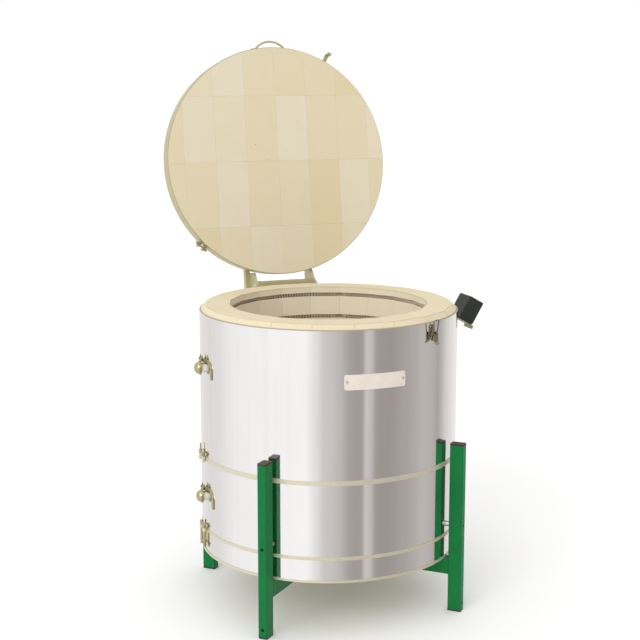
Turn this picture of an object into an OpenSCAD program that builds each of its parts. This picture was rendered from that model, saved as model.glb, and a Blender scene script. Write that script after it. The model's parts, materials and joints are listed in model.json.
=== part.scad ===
// Top-loading kiln with a round brick chamber, hinged brick lid and a four-legged stand
// Millimetres, +Z up, front towards -Y, origin on the floor under the chamber's axis

/* [Chamber] */
// Width of the chamber between opposite wall bricks
chamber_d = 640; // [560:10:720]
// Thickness of the bricks in the wall and floor
brick_t = 76; // [64:1:90]
// Bricks in one course of the wall
bricks_per_course = 20; // [16:4:24]
// Height of one course of the wall
course_h = 230; // [225:1:245]
// Dry joint between neighbouring bricks
brick_joint = 0.4; // [0.2:0.1:1]
// Long side of a floor or lid brick
slab_brick_l = 230; // [200:5:250]
// Short side of a floor or lid brick
slab_brick_w = 114; // [100:2:124]

/* [Heating elements] */
// Distance of the first element groove below the rim
groove_first = 28; // [24:1:34]
// Distance of the first element groove below the top of the middle and lower courses
groove_first_deep = 46; // [44:1:48]
// Distance between element grooves in a course
groove_pitch = 77; // [72:1:80]
// Diameter of the round bottom of a groove
groove_d = 20; // [18:0.5:24]
// Height of the slot through which a groove opens
groove_mouth = 13; // [10:0.5:16]
// Depth of the groove's round bottom behind the brick face
groove_depth = 12; // [11:0.5:16]
// Mean radius of the element's curls
curl_r = 5.4; // [4.5:0.1:6]
// Radius of the element wire
wire_r = 1.4; // [1:0.1:1.6]
// Curls drawn on the top element
curls = 72; // [48:4:90]

/* [Shell] */
// Thickness of the insulation outside the brick corners
insulation_t = 18; // [12:1:40]
// Thickness of the insulation under the floor bricks
floor_insulation_t = 36; // [20:1:60]
// Thickness of the steel jacket
jacket_t = 1.2; // [0.8:0.1:2]
// Height of the brick rim above the jacket's edge
rim_proud = 18; // [8:1:26]
// Thickness of the base plate
base_t = 3; // [2:0.5:5]
// Height of the base plate's turned-up edge outside the jacket
base_edge_h = 8; // [6:0.5:12]
// Height of the upper band
upper_band_h = 15; // [12:1:22]
// Height of the lower band
lower_band_h = 11; // [9:1:18]
// Thickness of the bands
band_t = 1; // [0.8:0.1:1.5]
// Distance of the upper band's middle above the base plate
upper_band_up = 317; // [280:1:340]
// Distance of the lower band's middle above the base plate
lower_band_up = 78; // [60:1:100]

/* [Stand] */
// Height of the base plate above the floor
body_z = 177; // [140:1:240]
// Height of the leg tubes' tops above the floor
leg_h = 553; // [520:1:600]
// Radial depth of a leg tube
leg_d = 45; // [40:1:60]
// Width of a leg tube and of the cross beams
leg_w = 30; // [25:1:40]
// Wall of the leg tubes and cross beams
tube_t = 2; // [1.5:0.5:3]
// Gap between the jacket and the legs
leg_gap = 13; // [10:1:25]
// Height of the cross beams
beam_h = 55; // [40:1:70]
// Distance of the leg stays' middle above the lower band's middle
stay_up = 33; // [24:1:44]

/* [Lid] */
// Thickness of the lid
lid_t = 64; // [50:1:90]
// Angle through which the lid opens
lid_open = 99; // [92:1:106]
// Distance of the hinge axis behind the jacket
hinge_back = 20; // [19:1:30]
// Height of the hinge axis above the jacket's edge
hinge_up = 10; // [4:1:16]
// Distance of each hinge arm's middle from the centre plane
arm_x = 118; // [90:1:160]
// Width of the hinge arm bars
arm_w = 16; // [12:1:24]
// Height of the hinge arm bars
arm_h = 25; // [18:1:35]
// Width of the bow handle
handle_w = 112; // [90:1:140]
// Distance of the bow handle's outside from the lid's band
handle_out = 28; // [26:1:45]

/* [Fittings] */
// Angle of the lid catch and draw latch to the right of the front
latch_angle = 29; // [10:1:45]
// Distance of the upper peephole's middle below the element groove over it
peep_upper_under = 83; // [47:1:97]
// Distance of the lower peephole's middle below the element groove over it
peep_lower_under = 29; // [21:1:31]
// Radius of a peephole's ceramic tube
peep_r = 15; // [13:0.5:16]
// Slope width of the control housing
control_w = 56; // [50:1:80]
// Depth of the control housing behind its face
control_d = 83; // [60:1:110]
// Length of the control housing
control_l = 80; // [60:1:140]
// Tilt of the control face
control_tilt = 30; // [20:1:40]
// Width of the terminal cover
cover_w = 110; // [100:2:140]
// Depth of the terminal cover outside the jacket
cover_d = 84; // [70:1:120]
// Distance of the terminal cover's lower edge above the base plate
cover_up = 123; // [100:1:126]

/* [Hidden] */
$fn = 48;

// Clearances
seat_gap = 0.3;
slip = 0.05;
past = 1;

// Colours
steel_c = "gainsboro";
brick_c = "wheat";
green_c = "seagreen";
olive_c = "darkkhaki";
black_c = "dimgray";

// Levels above the floor
floor_insulation_z = body_z + base_t;
floor_brick_z = floor_insulation_z + floor_insulation_t;
wall_z = floor_brick_z + brick_t;
rim_z = wall_z + 3 * course_h;
jacket_top = rim_z - rim_proud;
upper_band_z = body_z + upper_band_up;
lower_band_z = body_z + lower_band_up;
beam_z = body_z - beam_h;
stay_z = lower_band_z + stay_up;
foot_hole_z = 28;

// Radii
chamber_r = chamber_d / 2;
half_step = 180 / bricks_per_course;
brick_out = chamber_r + brick_t;
brick_corner_r = brick_out / cos(half_step);
jacket_in_r = brick_corner_r + insulation_t;
jacket_r = jacket_in_r + jacket_t;
band_r = jacket_r + seat_gap;
band_out_r = band_r + band_t;
base_edge_t = 1.5;
base_edge_r = jacket_r + seat_gap + base_edge_t;
leg_r = jacket_r + leg_gap;

// Element rows, counted from the rim, as course number and groove number
upper_rows = [0, 1];
full_rows = [0, 1, 2];
groove_r = chamber_r + groove_depth;
element_r = groove_r + groove_r * (1 / cos(half_step) - 1) / 2;
function row_z(c, g) =
    wall_z + (c + 1) * course_h - (c == 2 ? groove_first : groove_first_deep) - g * groove_pitch;
row_zs = [for (c = [2, 1, 0], g = c == 2 ? upper_rows : full_rows) row_z(c, g)];
plain_rod_r = curl_r;
// The two ends of a row leave the wall on each side of a brick joint at the back, right of the hinge
lead_joint = 7 * half_step;
lead_half = 2.6;
lead_angles = [lead_joint - lead_half, lead_joint + lead_half];
bushing_r = 5;
bushing_bore_r = wire_r + 0.4;
bushing_in = groove_r + groove_d / 2 + 2;
bushing_proud = 14;
bushing_out = jacket_r + bushing_proud;
terminal_r = 5;
terminal_l = 20;
lead_end = bushing_out + terminal_l;
thermo_z = (row_zs[3] + row_zs[4]) / 2;
thermo_r = 4;
thermo_reach = 40;

// Leg angles counted anticlockwise from +X
leg_angles = [-135, -45, 135, 45];
plug_t = 6;
plug_in = 14;
corner_r = 3;
tube_round = corner_r - tube_t + 0.5;
stem_less = 2 * (tube_t + seat_gap);
screw_r = 3;
access_r = 4.5;
standoff_r = 9;
clamp_angle = 177;
clamp_half = 2.8;
loop_r = 7;
loop_over = 0.5;
loop_at = band_r + 0.4 * band_t + loop_r;
trunnion_r = 5;

// Lid in its closed place
lid_lap = 1;
lid_r = brick_corner_r + lid_lap;
lid_band_t = 2;
lid_brick_r = lid_r - lid_band_t - seat_gap;
lid_z = rim_z + 0.4;
lid_top = lid_z + lid_t;
lid_band_up = 4;
lid_flange = 22;
lid_split = 135;
lid_split_half = 0.8;
hinge_y = jacket_r + hinge_back;
hinge_z = jacket_top + hinge_up;
pin_r = 5;
boss_r = 14;
hinge_plate_t = 6;
plate_x = arm_x - arm_w / 2 - hinge_plate_t;
crossbar_s = 30;
crossbar_half = plate_x - seat_gap;
bolt_ring = lid_r - lid_flange / 2;
bolt_y = sqrt(bolt_ring * bolt_ring - arm_x * arm_x);
arm_tail = 26;
stop_r = 6;
stop_y = 20;

// Place of a closed-lid point once the lid is open, as [y, z]
function opened(y, z) = [
    hinge_y + (y - hinge_y) * cos(lid_open) + (z - hinge_z) * sin(lid_open),
    hinge_z - (y - hinge_y) * sin(lid_open) + (z - hinge_z) * cos(lid_open)
];
stop_at = opened(hinge_y + stop_y, lid_top - stop_r - seat_gap);

// Draw latch, as distances out from the jacket and heights under its edge
latch_pivot_out = 10;
latch_pivot_under = 34;
latch_plate_under = 50;
latch_plate_h = 44;
latch_pivot_z = jacket_top - latch_pivot_under;
bail_pivot_out = 8;
bail_pivot_z = latch_pivot_z - 16;
bail_lean = 10;
bail_wire_r = 2;
bail_half = 14;
bail_h = 60;
latch_pin_r = 2;
latch_pin_l = 20;
// Length of the cuts that go right through a small fitting
cross_cut = 60;
latch_plate_t = 2;
latch_half = 12;

// Peepholes, each under an element groove that its tube has to clear
peep_upper_z = row_z(2, 1) - peep_upper_under;
peep_lower_z = row_z(0, 1) - peep_lower_under;

// Peephole cover, as distances out from the jacket and above its centre
flap_pin_l = 30;
flap_pivot_out = 10;
flap_pivot_up = 28;
flap_r = 23;
flap_gap = 0.4;
dome_h = 20;
tube_proud = 13;
strap_w = 12;
strap_t = 3;
strap_low = peep_r + 1.5;
strap_tail_x = 66;
strap_tail_drop = 23;

// Control unit, from its middle
control_out = 77;
control_under = 34;
control_x = jacket_r + control_out;
control_z = jacket_top - control_under;
control_round = 4;
bracket_t = 3;

// Rectangle about its middle with round corners
module rounded_rect(w, d, r) {
    square([w - 2 * r, d], center = true);
    square([w, d - 2 * r], center = true);
    for (sx = [-1, 1], sy = [-1, 1])
        translate([sx * (w / 2 - r), sy * (d / 2 - r)])
            circle(r = r);
}

// Ring between two radii that runs from one angle to another
module ring_arc(r0, r1, h, a0, a1) {
    rotate([0, 0, a0])
        rotate_extrude(angle = a1 - a0, $fn = 180)
            translate([r0, 0])
                square([r1 - r0, h]);
}

module ring(r0, r1, h) {
    difference() {
        cylinder(r = r1, h = h, $fn = 180);
        translate([0, 0, -past])
            cylinder(r = r0, h = h + 2 * past, $fn = 180);
    }
}

// Puts what stands along +Z onto a radius of the wall
module radial(a, z) {
    rotate([0, 0, a])
        translate([0, 0, z])
            rotate([0, 90, 0])
                children();
}

// Rod along a radius of the wall between two distances from the axis
module radial_rod(a, z, r, r0, r1) {
    radial(a, z)
        translate([0, 0, r0])
            cylinder(r = r, h = r1 - r0);
}

// Turns what is drawn at the front, facing -Y, to an angle to the right of the front
module on_wall(a) {
    rotate([0, 0, a])
        children();
}

// Cylinder along X about its middle
module x_rod(r, l) {
    rotate([0, 90, 0])
        cylinder(r = r, h = l, center = true);
}

// Outline drawn as [y, z], extruded along X from x0 to x1
module x_plate(x0, x1) {
    translate([x0, 0, 0])
        rotate([90, 0, 90])
            linear_extrude(x1 - x0)
                children();
}

// Two like plates across X, one on each side of the middle at an inner distance
module plate_pair(inner, t) {
    for (s = [-1, 1])
        x_plate(s * (inner + t / 2) - t / 2, s * (inner + t / 2) + t / 2)
            children();
}

// Swings what is drawn on the closed lid to the open lid's place
module lid_pose() {
    translate([0, hinge_y, hinge_z])
        rotate([-lid_open, 0, 0])
            translate([0, -hinge_y, -hinge_z])
                children();
}

// Leg tube with a screw hole inside at the stay, an access hole facing it and one near the foot
module leg(a) {
    color(green_c)
        rotate([0, 0, a])
            difference() {
                translate([leg_r + leg_d / 2, 0, plug_t])
                    linear_extrude(leg_h - plug_t)
                        difference() {
                            rounded_rect(leg_d, leg_w, corner_r);
                            rounded_rect(leg_d - 2 * tube_t, leg_w - 2 * tube_t, tube_round);
                        }
                for (z = [stay_z, foot_hole_z])
                    radial_rod(0, z, access_r, leg_r + leg_d / 2, leg_r + leg_d + past);
                radial_rod(0, stay_z, screw_r + seat_gap, leg_r - past, leg_r + leg_d / 2);
            }
}

module leg_front_left() leg(leg_angles[0]);
module leg_front_right() leg(leg_angles[1]);
module leg_rear_left() leg(leg_angles[2]);
module leg_rear_right() leg(leg_angles[3]);

// Cap that sits on a tube's end with a stem that fits inside it
module leg_plug(cap_z, stem_z) {
    translate([leg_r + leg_d / 2, 0, 0]) {
        translate([0, 0, cap_z])
            linear_extrude(plug_t)
                rounded_rect(leg_d, leg_w, corner_r);
        translate([0, 0, stem_z])
            linear_extrude(plug_in)
                rounded_rect(leg_d - stem_less, leg_w - stem_less, tube_round);
    }
}

module leg_top_plugs() {
    color("saddlebrown")
        for (a = leg_angles)
            rotate([0, 0, a])
                leg_plug(leg_h, leg_h - plug_in);
}

module leg_foot_plugs() {
    color(black_c)
        for (a = leg_angles)
            rotate([0, 0, a])
                leg_plug(0, plug_t);
}

// Rectangular tube lying along X between two places
module beam(x0, x1) {
    translate([x0, 0, beam_z + beam_h / 2])
        rotate([90, 0, 90])
            linear_extrude(x1 - x0)
                difference() {
                    rounded_rect(leg_w, beam_h, corner_r);
                    rounded_rect(leg_w - 2 * tube_t, beam_h - 2 * tube_t, tube_round);
                }
}

module cross_beam_long() {
    color(green_c)
        rotate([0, 0, leg_angles[1]])
            beam(-leg_r, leg_r);
}

module cross_beam_halves() {
    color(green_c)
        for (a = [leg_angles[0], leg_angles[3]])
            rotate([0, 0, a])
                beam(leg_w / 2, leg_r);
}

// Distance pieces between the jacket and the legs
module leg_standoffs() {
    color(steel_c)
        for (a = leg_angles)
            difference() {
                radial_rod(a, stay_z, standoff_r, jacket_r + slip, leg_r);
                radial_rod(a, stay_z, screw_r + seat_gap, jacket_r, leg_r + past);
            }
}

module leg_screws() {
    color(steel_c)
        for (a = leg_angles) {
            radial_rod(a, stay_z, screw_r, jacket_r + seat_gap, leg_r + tube_t + past);
            radial_rod(a, stay_z, 2 * screw_r, leg_r + tube_t, leg_r + tube_t + screw_r);
        }
}

module base_plate() {
    color(steel_c)
        translate([0, 0, body_z]) {
            cylinder(r = base_edge_r, h = base_t, $fn = 180);
            ring(jacket_r + seat_gap, base_edge_r, base_edge_h);
        }
}

module floor_insulation() {
    color("ivory")
        translate([0, 0, floor_insulation_z])
            cylinder(r = jacket_in_r - seat_gap, h = floor_insulation_t, $fn = 180);
}

// Slab of straight bricks in a square grid through the centre, trimmed to a disc
module brick_slab(r, h) {
    across = ceil(r / slab_brick_w);
    along = ceil(r / slab_brick_l);
    for (i = [-across : across - 1], j = [-along : along - 1]) {
        near_x = min(abs(i), abs(i + 1)) * slab_brick_w;
        near_y = min(abs(j), abs(j + 1)) * slab_brick_l;
        if (norm([near_x, near_y]) < r - slab_brick_w / 10)
            intersection() {
                cylinder(r = r, h = h, $fn = 180);
                translate([i * slab_brick_w + brick_joint / 2, j * slab_brick_l + brick_joint / 2, 0])
                    cube([slab_brick_w - brick_joint, slab_brick_l - brick_joint, h]);
            }
    }
}

module floor_bricks() {
    color(brick_c)
        translate([0, 0, floor_brick_z])
            brick_slab(brick_out - seat_gap, brick_t);
}

// Angle of a wall brick's middle, anticlockwise from +X
function brick_angle(i) = 2 * half_step * i - 90;

// Half width of a wall brick at a distance from the axis
function brick_half(r) = r * tan(half_step) - brick_joint / 2;

// Keyhole groove along a brick's inner face
module groove(z) {
    span = 2 * brick_half(brick_out);
    translate([chamber_r - past, -span / 2, z - groove_mouth / 2])
        cube([groove_depth + past, span, groove_mouth]);
    translate([groove_r, 0, z])
        rotate([90, 0, 0])
            cylinder(d = groove_d, h = span, center = true);
}

// Rods through the wall for the element leads, the thermocouple and the peepholes
module wall_passages(extra) {
    for (z = row_zs, a = lead_angles)
        radial_rod(a, z, bushing_r + extra, bushing_in - 2 * past, jacket_r + past);
    radial_rod(lead_joint, thermo_z, thermo_r + extra, chamber_r - past, jacket_r + past);
    for (z = [peep_upper_z, peep_lower_z])
        radial_rod(180, z, peep_r + extra, chamber_r - brick_t / 2, jacket_r + past);
}

// One course of wedge bricks, the first centred on the front
module wall_course(c, rows) {
    z0 = wall_z + c * course_h;
    color(brick_c)
        for (i = [0 : bricks_per_course - 1]) {
            by_leads = abs(brick_angle(i) - lead_joint) < 2 * half_step;
            by_peepholes = abs(brick_angle(i) - 180) < half_step;
            difference() {
                rotate([0, 0, brick_angle(i)])
                    difference() {
                        translate([0, 0, z0 + brick_joint / 2])
                            linear_extrude(course_h - brick_joint)
                                polygon([
                                    [chamber_r, -brick_half(chamber_r)],
                                    [brick_out, -brick_half(brick_out)],
                                    [brick_out, brick_half(brick_out)],
                                    [chamber_r, brick_half(chamber_r)]
                                ]);
                        for (g = rows)
                            groove(row_z(c, g));
                    }
                if (by_leads || by_peepholes)
                    wall_passages(seat_gap);
            }
        }
}

module wall_course_lower() wall_course(0, full_rows);
module wall_course_middle() wall_course(1, full_rows);
module wall_course_upper() wall_course(2, upper_rows);

// Blanket between bricks and jacket, its top sloping down to the jacket's edge
module wall_insulation() {
    top_in = rim_z - 2;
    color("ivory")
        difference() {
            rotate_extrude($fn = 180)
                polygon([
                    [chamber_r, floor_brick_z],
                    [jacket_in_r - seat_gap, floor_brick_z],
                    [jacket_in_r - seat_gap, jacket_top - 1],
                    [brick_corner_r + 1, top_in],
                    [chamber_r, top_in]
                ]);
            translate([0, 0, floor_brick_z - past])
                rotate([0, 0, half_step - 90])
                    linear_extrude(rim_z)
                        polygon([
                            for (i = [0 : bricks_per_course - 1])
                                let (a = 2 * half_step * i)
                                    (brick_corner_r + seat_gap) * [cos(a), sin(a)]
                        ]);
            wall_passages(seat_gap);
        }
}

module jacket() {
    color(steel_c)
        difference() {
            translate([0, 0, floor_insulation_z])
                ring(jacket_in_r, jacket_r, jacket_top - floor_insulation_z);
            wall_passages(2 * seat_gap);
        }
}

// Steel band round the jacket, its ends rolled into clamp loops a little wider than the band
module band(z, h) {
    loop_h = h + 2 * loop_over;
    translate([0, 0, z]) {
        translate([0, 0, -h / 2])
            ring_arc(band_r, band_out_r, h, clamp_angle + clamp_half, clamp_angle - clamp_half + 360);
        for (a = [clamp_angle - clamp_half, clamp_angle + clamp_half])
            rotate([0, 0, a])
                translate([loop_at, 0, 0])
                    difference() {
                        cylinder(r = loop_r, h = loop_h, center = true);
                        cylinder(r = trunnion_r + slip, h = loop_h + 2 * past, center = true);
                    }
    }
}

// Two upright trunnions pulled together by bolts beside the band
module band_clamp(z, low, high, bolt_zs) {
    half_gap = loop_at * sin(clamp_half);
    bolt_r = 2.5;
    rotate([0, 0, clamp_angle])
        translate([loop_at * cos(clamp_half), 0, z]) {
            for (s = [-1, 1])
                translate([0, s * half_gap, low])
                    cylinder(r = trunnion_r, h = high - low);
            for (bz = bolt_zs)
                translate([0, 0, bz])
                    rotate([90, 0, 0]) {
                        cylinder(r = bolt_r, h = 2 * half_gap + 26, center = true);
                        for (s = [-1, 1])
                            translate([0, 0, s * (half_gap + trunnion_r + 2)])
                                cylinder(r = 2 * bolt_r, h = 5, center = true, $fn = 6);
                    }
        }
}

module upper_band() {
    color(olive_c)
        band(upper_band_z, upper_band_h);
}

// The upper clamp's far trunnion carries the locking pin that stands up from it
module upper_band_clamp() {
    half = upper_band_h / 2;
    color(olive_c) {
        band_clamp(upper_band_z, -half - 4, half + 14, [half + 7]);
        rotate([0, 0, clamp_angle - clamp_half])
            translate([loop_at, 0, upper_band_z + half + 14])
                cylinder(r = trunnion_r / 2, h = 20);
    }
}

module lower_band() {
    color(olive_c)
        band(lower_band_z, lower_band_h);
}

module lower_band_clamp() {
    half = lower_band_h / 2;
    color(olive_c)
        band_clamp(lower_band_z, -half - 54, half + 14, [-half - 42, half + 7]);
}

// Sweep of a six-sided tube along points, without twist
tube_sides = 6;
function unit(v) = v / norm(v);
function tangent(p, i) = unit(p[min(i + 1, len(p) - 1)] - p[max(i - 1, 0)]);
function square_to(v, t) = unit(v - (v * t) * t);

module tube_sweep(p, r, first_normal) {
    n = len(p);
    t = [for (i = [0 : n - 1]) tangent(p, i)];
    u = [for (i = 0, a = square_to(first_normal, t[0]); i < n;
            i = i + 1, a = i < n ? square_to(a, t[i]) : a) a];
    points = [
        for (i = [0 : n - 1], k = [0 : tube_sides - 1])
            let (a = 360 * k / tube_sides)
                p[i] + r * (cos(a) * u[i] + sin(a) * cross(t[i], u[i]))
    ];
    faces = [
        for (i = [0 : n - 2], k = [0 : tube_sides - 1])
            let (a = i * tube_sides + k, b = i * tube_sides + (k + 1) % tube_sides)
                each [[a, a + tube_sides, b], [b, a + tube_sides, b + tube_sides]]
    ];
    first_cap = [for (k = [1 : tube_sides - 2]) [0, k, k + 1]];
    last = (n - 1) * tube_sides;
    last_cap = [for (k = [1 : tube_sides - 2]) [last, last + k + 1, last + k]];
    polyhedron(points, concat(faces, first_cap, last_cap));
}

// Centre line of the top element: a lead in, the curls round the chamber and a lead out
rings_per_curl = 8;
curl_steps = curls * rings_per_curl;
curl_start = lead_angles[1];
curl_span = 360 - 2 * lead_half;
function at_angle(a, r, z) = [r * cos(a), r * sin(a), z];
function curl_point(i) =
    let (a = curl_start + curl_span * i / curl_steps, turn = 360 * i / rings_per_curl)
        at_angle(a, element_r + curl_r * cos(turn), row_zs[0] + curl_r * sin(turn));
coil_line = concat(
    [for (r = [lead_end, bushing_out, bushing_in, bushing_in - 2]) at_angle(lead_angles[1], r, row_zs[0])],
    [for (i = [0 : curl_steps]) curl_point(i)],
    [for (r = [bushing_in - 2, bushing_in, bushing_out, lead_end]) at_angle(lead_angles[0], r, row_zs[0])]
);
// Least gap of the coil's wire to its own neighbouring turns
coil_gap = min([
    for (i = [0 : len(coil_line) - 1], j = [i + 5 : 1 : min(i + 3 * rings_per_curl, len(coil_line) - 1)])
        norm(coil_line[i] - coil_line[j])
]) - 2 * wire_r;
echo(coil_gap = coil_gap);

module heating_element_top() {
    color("sienna")
        tube_sweep(coil_line, wire_r, [0, 0, 1]);
}

// The deeper rows, each as a rod of the coil's mean size that runs a little past its two leads
module heating_elements_lower() {
    over = 0.6;
    color("sienna")
        for (n = [1 : len(row_zs) - 1]) {
            translate([0, 0, row_zs[n]])
                rotate([0, 0, lead_angles[1] - over])
                    rotate_extrude(angle = curl_span + 2 * over, $fn = 180)
                        translate([element_r, 0])
                            circle(r = plain_rod_r, $fn = 24);
            for (a = lead_angles)
                radial_rod(a, row_zs[n], wire_r, element_r, lead_end);
        }
}

// Ceramic tubes that carry the element leads through the wall
module element_bushings() {
    color("white")
        for (z = row_zs, a = lead_angles)
            difference() {
                radial_rod(a, z, bushing_r, bushing_in, bushing_out);
                radial_rod(a, z, bushing_bore_r, bushing_in - past, bushing_out + past);
            }
}

// Screw clamps on the ends of the leads
module element_terminals() {
    color(steel_c)
        for (z = row_zs, a = lead_angles)
            difference() {
                radial_rod(a, z, terminal_r, bushing_out + seat_gap, bushing_out + seat_gap + terminal_l);
                radial_rod(a, z, wire_r + seat_gap, bushing_out, lead_end + seat_gap);
            }
}

// Sheet cover over the terminals with vent slots, open towards the jacket
cover_t = 1.2;
cover_room = 2;
cover_z = body_z + cover_up;
cover_h = row_zs[0] + terminal_r + cover_room + cover_t - cover_z;
gland_r = 16;
gland_step = 4;
gland_at = [jacket_r + cover_d / 2, 0, cover_z];
module terminal_cover() {
    slot_h = 5;
    slot_w = 60;
    slots = 6;
    slot_edge = 40;
    slot_climb = cover_h - 2 * slot_edge - (3 * slots - 2) * slot_h;
    color(steel_c)
        rotate([0, 0, lead_joint])
            difference() {
                translate([0, -cover_w / 2, cover_z])
                    cube([jacket_r + cover_d, cover_w, cover_h]);
                translate([-past, -cover_w / 2 + cover_t, cover_z + cover_t])
                    cube([
                        jacket_r + cover_d - cover_t + past,
                        cover_w - 2 * cover_t,
                        cover_h - 2 * cover_t
                    ]);
                translate([0, 0, cover_z - past])
                    cylinder(r = jacket_r + seat_gap, h = cover_h + 2 * past, $fn = 180);
                translate([0, 0, upper_band_z - upper_band_h / 2 - past])
                    cylinder(r = band_out_r + seat_gap, h = upper_band_h + 2 * past, $fn = 180);
                for (top = [0, 1], k = [0 : slots - 1])
                    translate([
                        jacket_r + cover_d - 2 * cover_t,
                        -slot_w / 2,
                        cover_z + slot_edge + k * 3 * slot_h + top * slot_climb
                    ])
                        cube([4 * cover_t, slot_w, slot_h]);
                translate(gland_at)
                    cylinder(r = gland_r - gland_step + seat_gap, h = 4 * past, center = true);
            }
}

// Inlet for the supply lead under the terminal cover
module cable_gland() {
    inside_l = 10;
    nut_l = 8;
    neck_l = 14;
    low = -nut_l - neck_l;
    color(black_c)
        rotate([0, 0, lead_joint])
            translate(gland_at)
                difference() {
                    union() {
                        cylinder(r = gland_r - gland_step, h = inside_l);
                        translate([0, 0, -nut_l])
                            cylinder(r = gland_r, h = nut_l, $fn = 6);
                        translate([0, 0, low])
                            cylinder(r = gland_r - 3, h = neck_l);
                    }
                    translate([0, 0, low - past])
                        cylinder(r = gland_r - 2 * gland_step, h = inside_l - low + 2 * past);
                }
}

// Temperature probe in its ceramic sheath with the terminal head outside the jacket
module thermocouple() {
    head_r = 12;
    color("white") {
        radial_rod(lead_joint, thermo_z, thermo_r, chamber_r - thermo_reach, jacket_r + 12);
        radial_rod(lead_joint, thermo_z, head_r, jacket_r + 8, jacket_r + 30);
    }
}

// Plate on the back of the jacket that carries the hinge crossbar
bracket_h = 92;
bracket_half = crossbar_half - 14;
bracket_rib = 14;
bracket_z = hinge_z + crossbar_s / 2 - bracket_h;
bracket_back = hinge_y - crossbar_s / 2;
back_plate_t = 4;
back_bolt_in = back_plate_t + 4;
rib_x = bracket_half - bracket_rib;
back_bolt_ups = [12, 44];
back_bolts = [for (s = [-1, 1], up = back_bolt_ups) [s * rib_x, bracket_back, bracket_z + up]];
module hinge_bracket() {
    plate_y = bracket_back - back_plate_t;
    color(olive_c)
        difference() {
            union() {
                translate([-bracket_half, plate_y, bracket_z])
                    cube([2 * bracket_half, back_plate_t, bracket_h]);
                for (s = [-1, 1])
                    translate([s * rib_x - bracket_rib / 2, plate_y - 2 * bracket_rib, bracket_z])
                        cube([bracket_rib, 2 * bracket_rib, jacket_top - bracket_z - 2]);
            }
            cylinder(r = jacket_r + seat_gap, h = 2 * rim_z, $fn = 180);
            for (p = back_bolts)
                translate(p)
                    rotate([90, 0, 0])
                        cylinder(r = screw_r + slip, h = 4 * back_bolt_in, center = true);
        }
}

// Bolts that hold the bracket through its ribs to the jacket
module hinge_bolts() {
    color(steel_c)
        for (p = back_bolts)
            translate(p)
                rotate([-90, 0, 0]) {
                    cylinder(r = 2 * screw_r, h = screw_r, $fn = 6);
                    translate([0, 0, -back_bolt_in])
                        cylinder(r = screw_r, h = back_bolt_in + slip);
                }
}

// Square bar on the hinge axis, bored at its ends for the pins
module hinge_crossbar() {
    color(olive_c)
        translate([0, hinge_y, hinge_z])
            difference() {
                cube([2 * crossbar_half, crossbar_s, crossbar_s], center = true);
                for (s = [-1, 1])
                    translate([s * crossbar_half, 0, 0])
                        x_rod(pin_r, cross_cut);
            }
}

// Pins in the ends of the crossbar, on which the arms turn
module hinge_pins() {
    head_x = plate_x + hinge_plate_t + seat_gap;
    color(steel_c)
        for (s = [-1, 1])
            translate([0, hinge_y, hinge_z]) {
                translate([s * (head_x + crossbar_half - 28) / 2, 0, 0])
                    x_rod(pin_r, head_x - crossbar_half + 28);
                translate([s * (head_x + 3), 0, 0])
                    x_rod(pin_r + 4, 6);
            }
}

// Ears behind the crossbar with the rod that the open lid's arms lean on
module lid_stop() {
    ear_t = 6;
    ear_x = plate_x - 20;
    y0 = hinge_y + crossbar_s / 2;
    color(olive_c) {
        for (s = [-1, 1])
            x_plate(s * ear_x - ear_t / 2, s * ear_x + ear_t / 2) {
                polygon([
                    [y0, hinge_z - crossbar_s / 2], [y0, hinge_z + crossbar_s / 2 - 4],
                    [stop_at[0] + 4, stop_at[1] + 10], [stop_at[0] + 4, stop_at[1] - 9],
                    [stop_at[0] - 6, stop_at[1] - 9]
                ]);
                translate([stop_at[0], stop_at[1]])
                    circle(r = stop_r + 5);
            }
        translate([0, stop_at[0], stop_at[1]])
            x_rod(stop_r, 2 * (arm_x + arm_w / 2));
    }
}

// Latch parts are drawn at the front and turned to their place
function wall_y(out) = -(jacket_r + out);

module latch_base() {
    ear_in = 5;
    ear_t = 2;
    ear_r = 5;
    plate_z = jacket_top - latch_plate_under;
    color(olive_c)
        on_wall(latch_angle)
            difference() {
                union() {
                    translate([-latch_half, wall_y(seat_gap + latch_plate_t), plate_z])
                        cube([2 * latch_half, latch_plate_t, latch_plate_h]);
                    plate_pair(ear_in, ear_t) {
                        translate([wall_y(latch_pivot_out), latch_pivot_z])
                            circle(r = ear_r);
                        translate([wall_y(latch_pivot_out), latch_pivot_z - ear_r])
                            square([latch_pivot_out - latch_plate_t, 2 * ear_r]);
                    }
                }
                translate([0, wall_y(latch_pivot_out), latch_pivot_z])
                    x_rod(latch_pin_r, cross_cut);
            }
}

module latch_pin() {
    color(steel_c)
        on_wall(latch_angle)
            translate([0, wall_y(latch_pivot_out), latch_pivot_z])
                x_rod(latch_pin_r, latch_pin_l);
}

// Channel-shaped lever with a turned-out thumb end
module latch_lever() {
    wall_in = 7.4;
    wall_t = 2;
    wall_h = 21;
    round_r = 6.5;
    half = wall_in + wall_t;
    front = 16;
    low = latch_pivot_z - 24;
    color(olive_c)
        on_wall(latch_angle)
            difference() {
                union() {
                    plate_pair(wall_in, wall_t) {
                        translate([wall_y(latch_pivot_out), latch_pivot_z])
                            circle(r = round_r);
                        translate([wall_y(front + 1), latch_pivot_z - wall_h])
                            square([front - 3, wall_h]);
                    }
                    translate([-half, wall_y(front + wall_t), low])
                        cube([2 * half, wall_t, latch_pivot_z - low]);
                    x_plate(-half, half)
                        polygon([
                            [wall_y(front), low],
                            [wall_y(front + wall_t), low],
                            [wall_y(front + 8), low - 6],
                            [wall_y(front + 7), low - 7.5]
                        ]);
                }
                translate([0, wall_y(latch_pivot_out), latch_pivot_z])
                    x_rod(latch_pin_r + slip, cross_cut);
                translate([0, wall_y(bail_pivot_out), bail_pivot_z])
                    x_rod(bail_wire_r + slip, cross_cut);
            }
}

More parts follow.
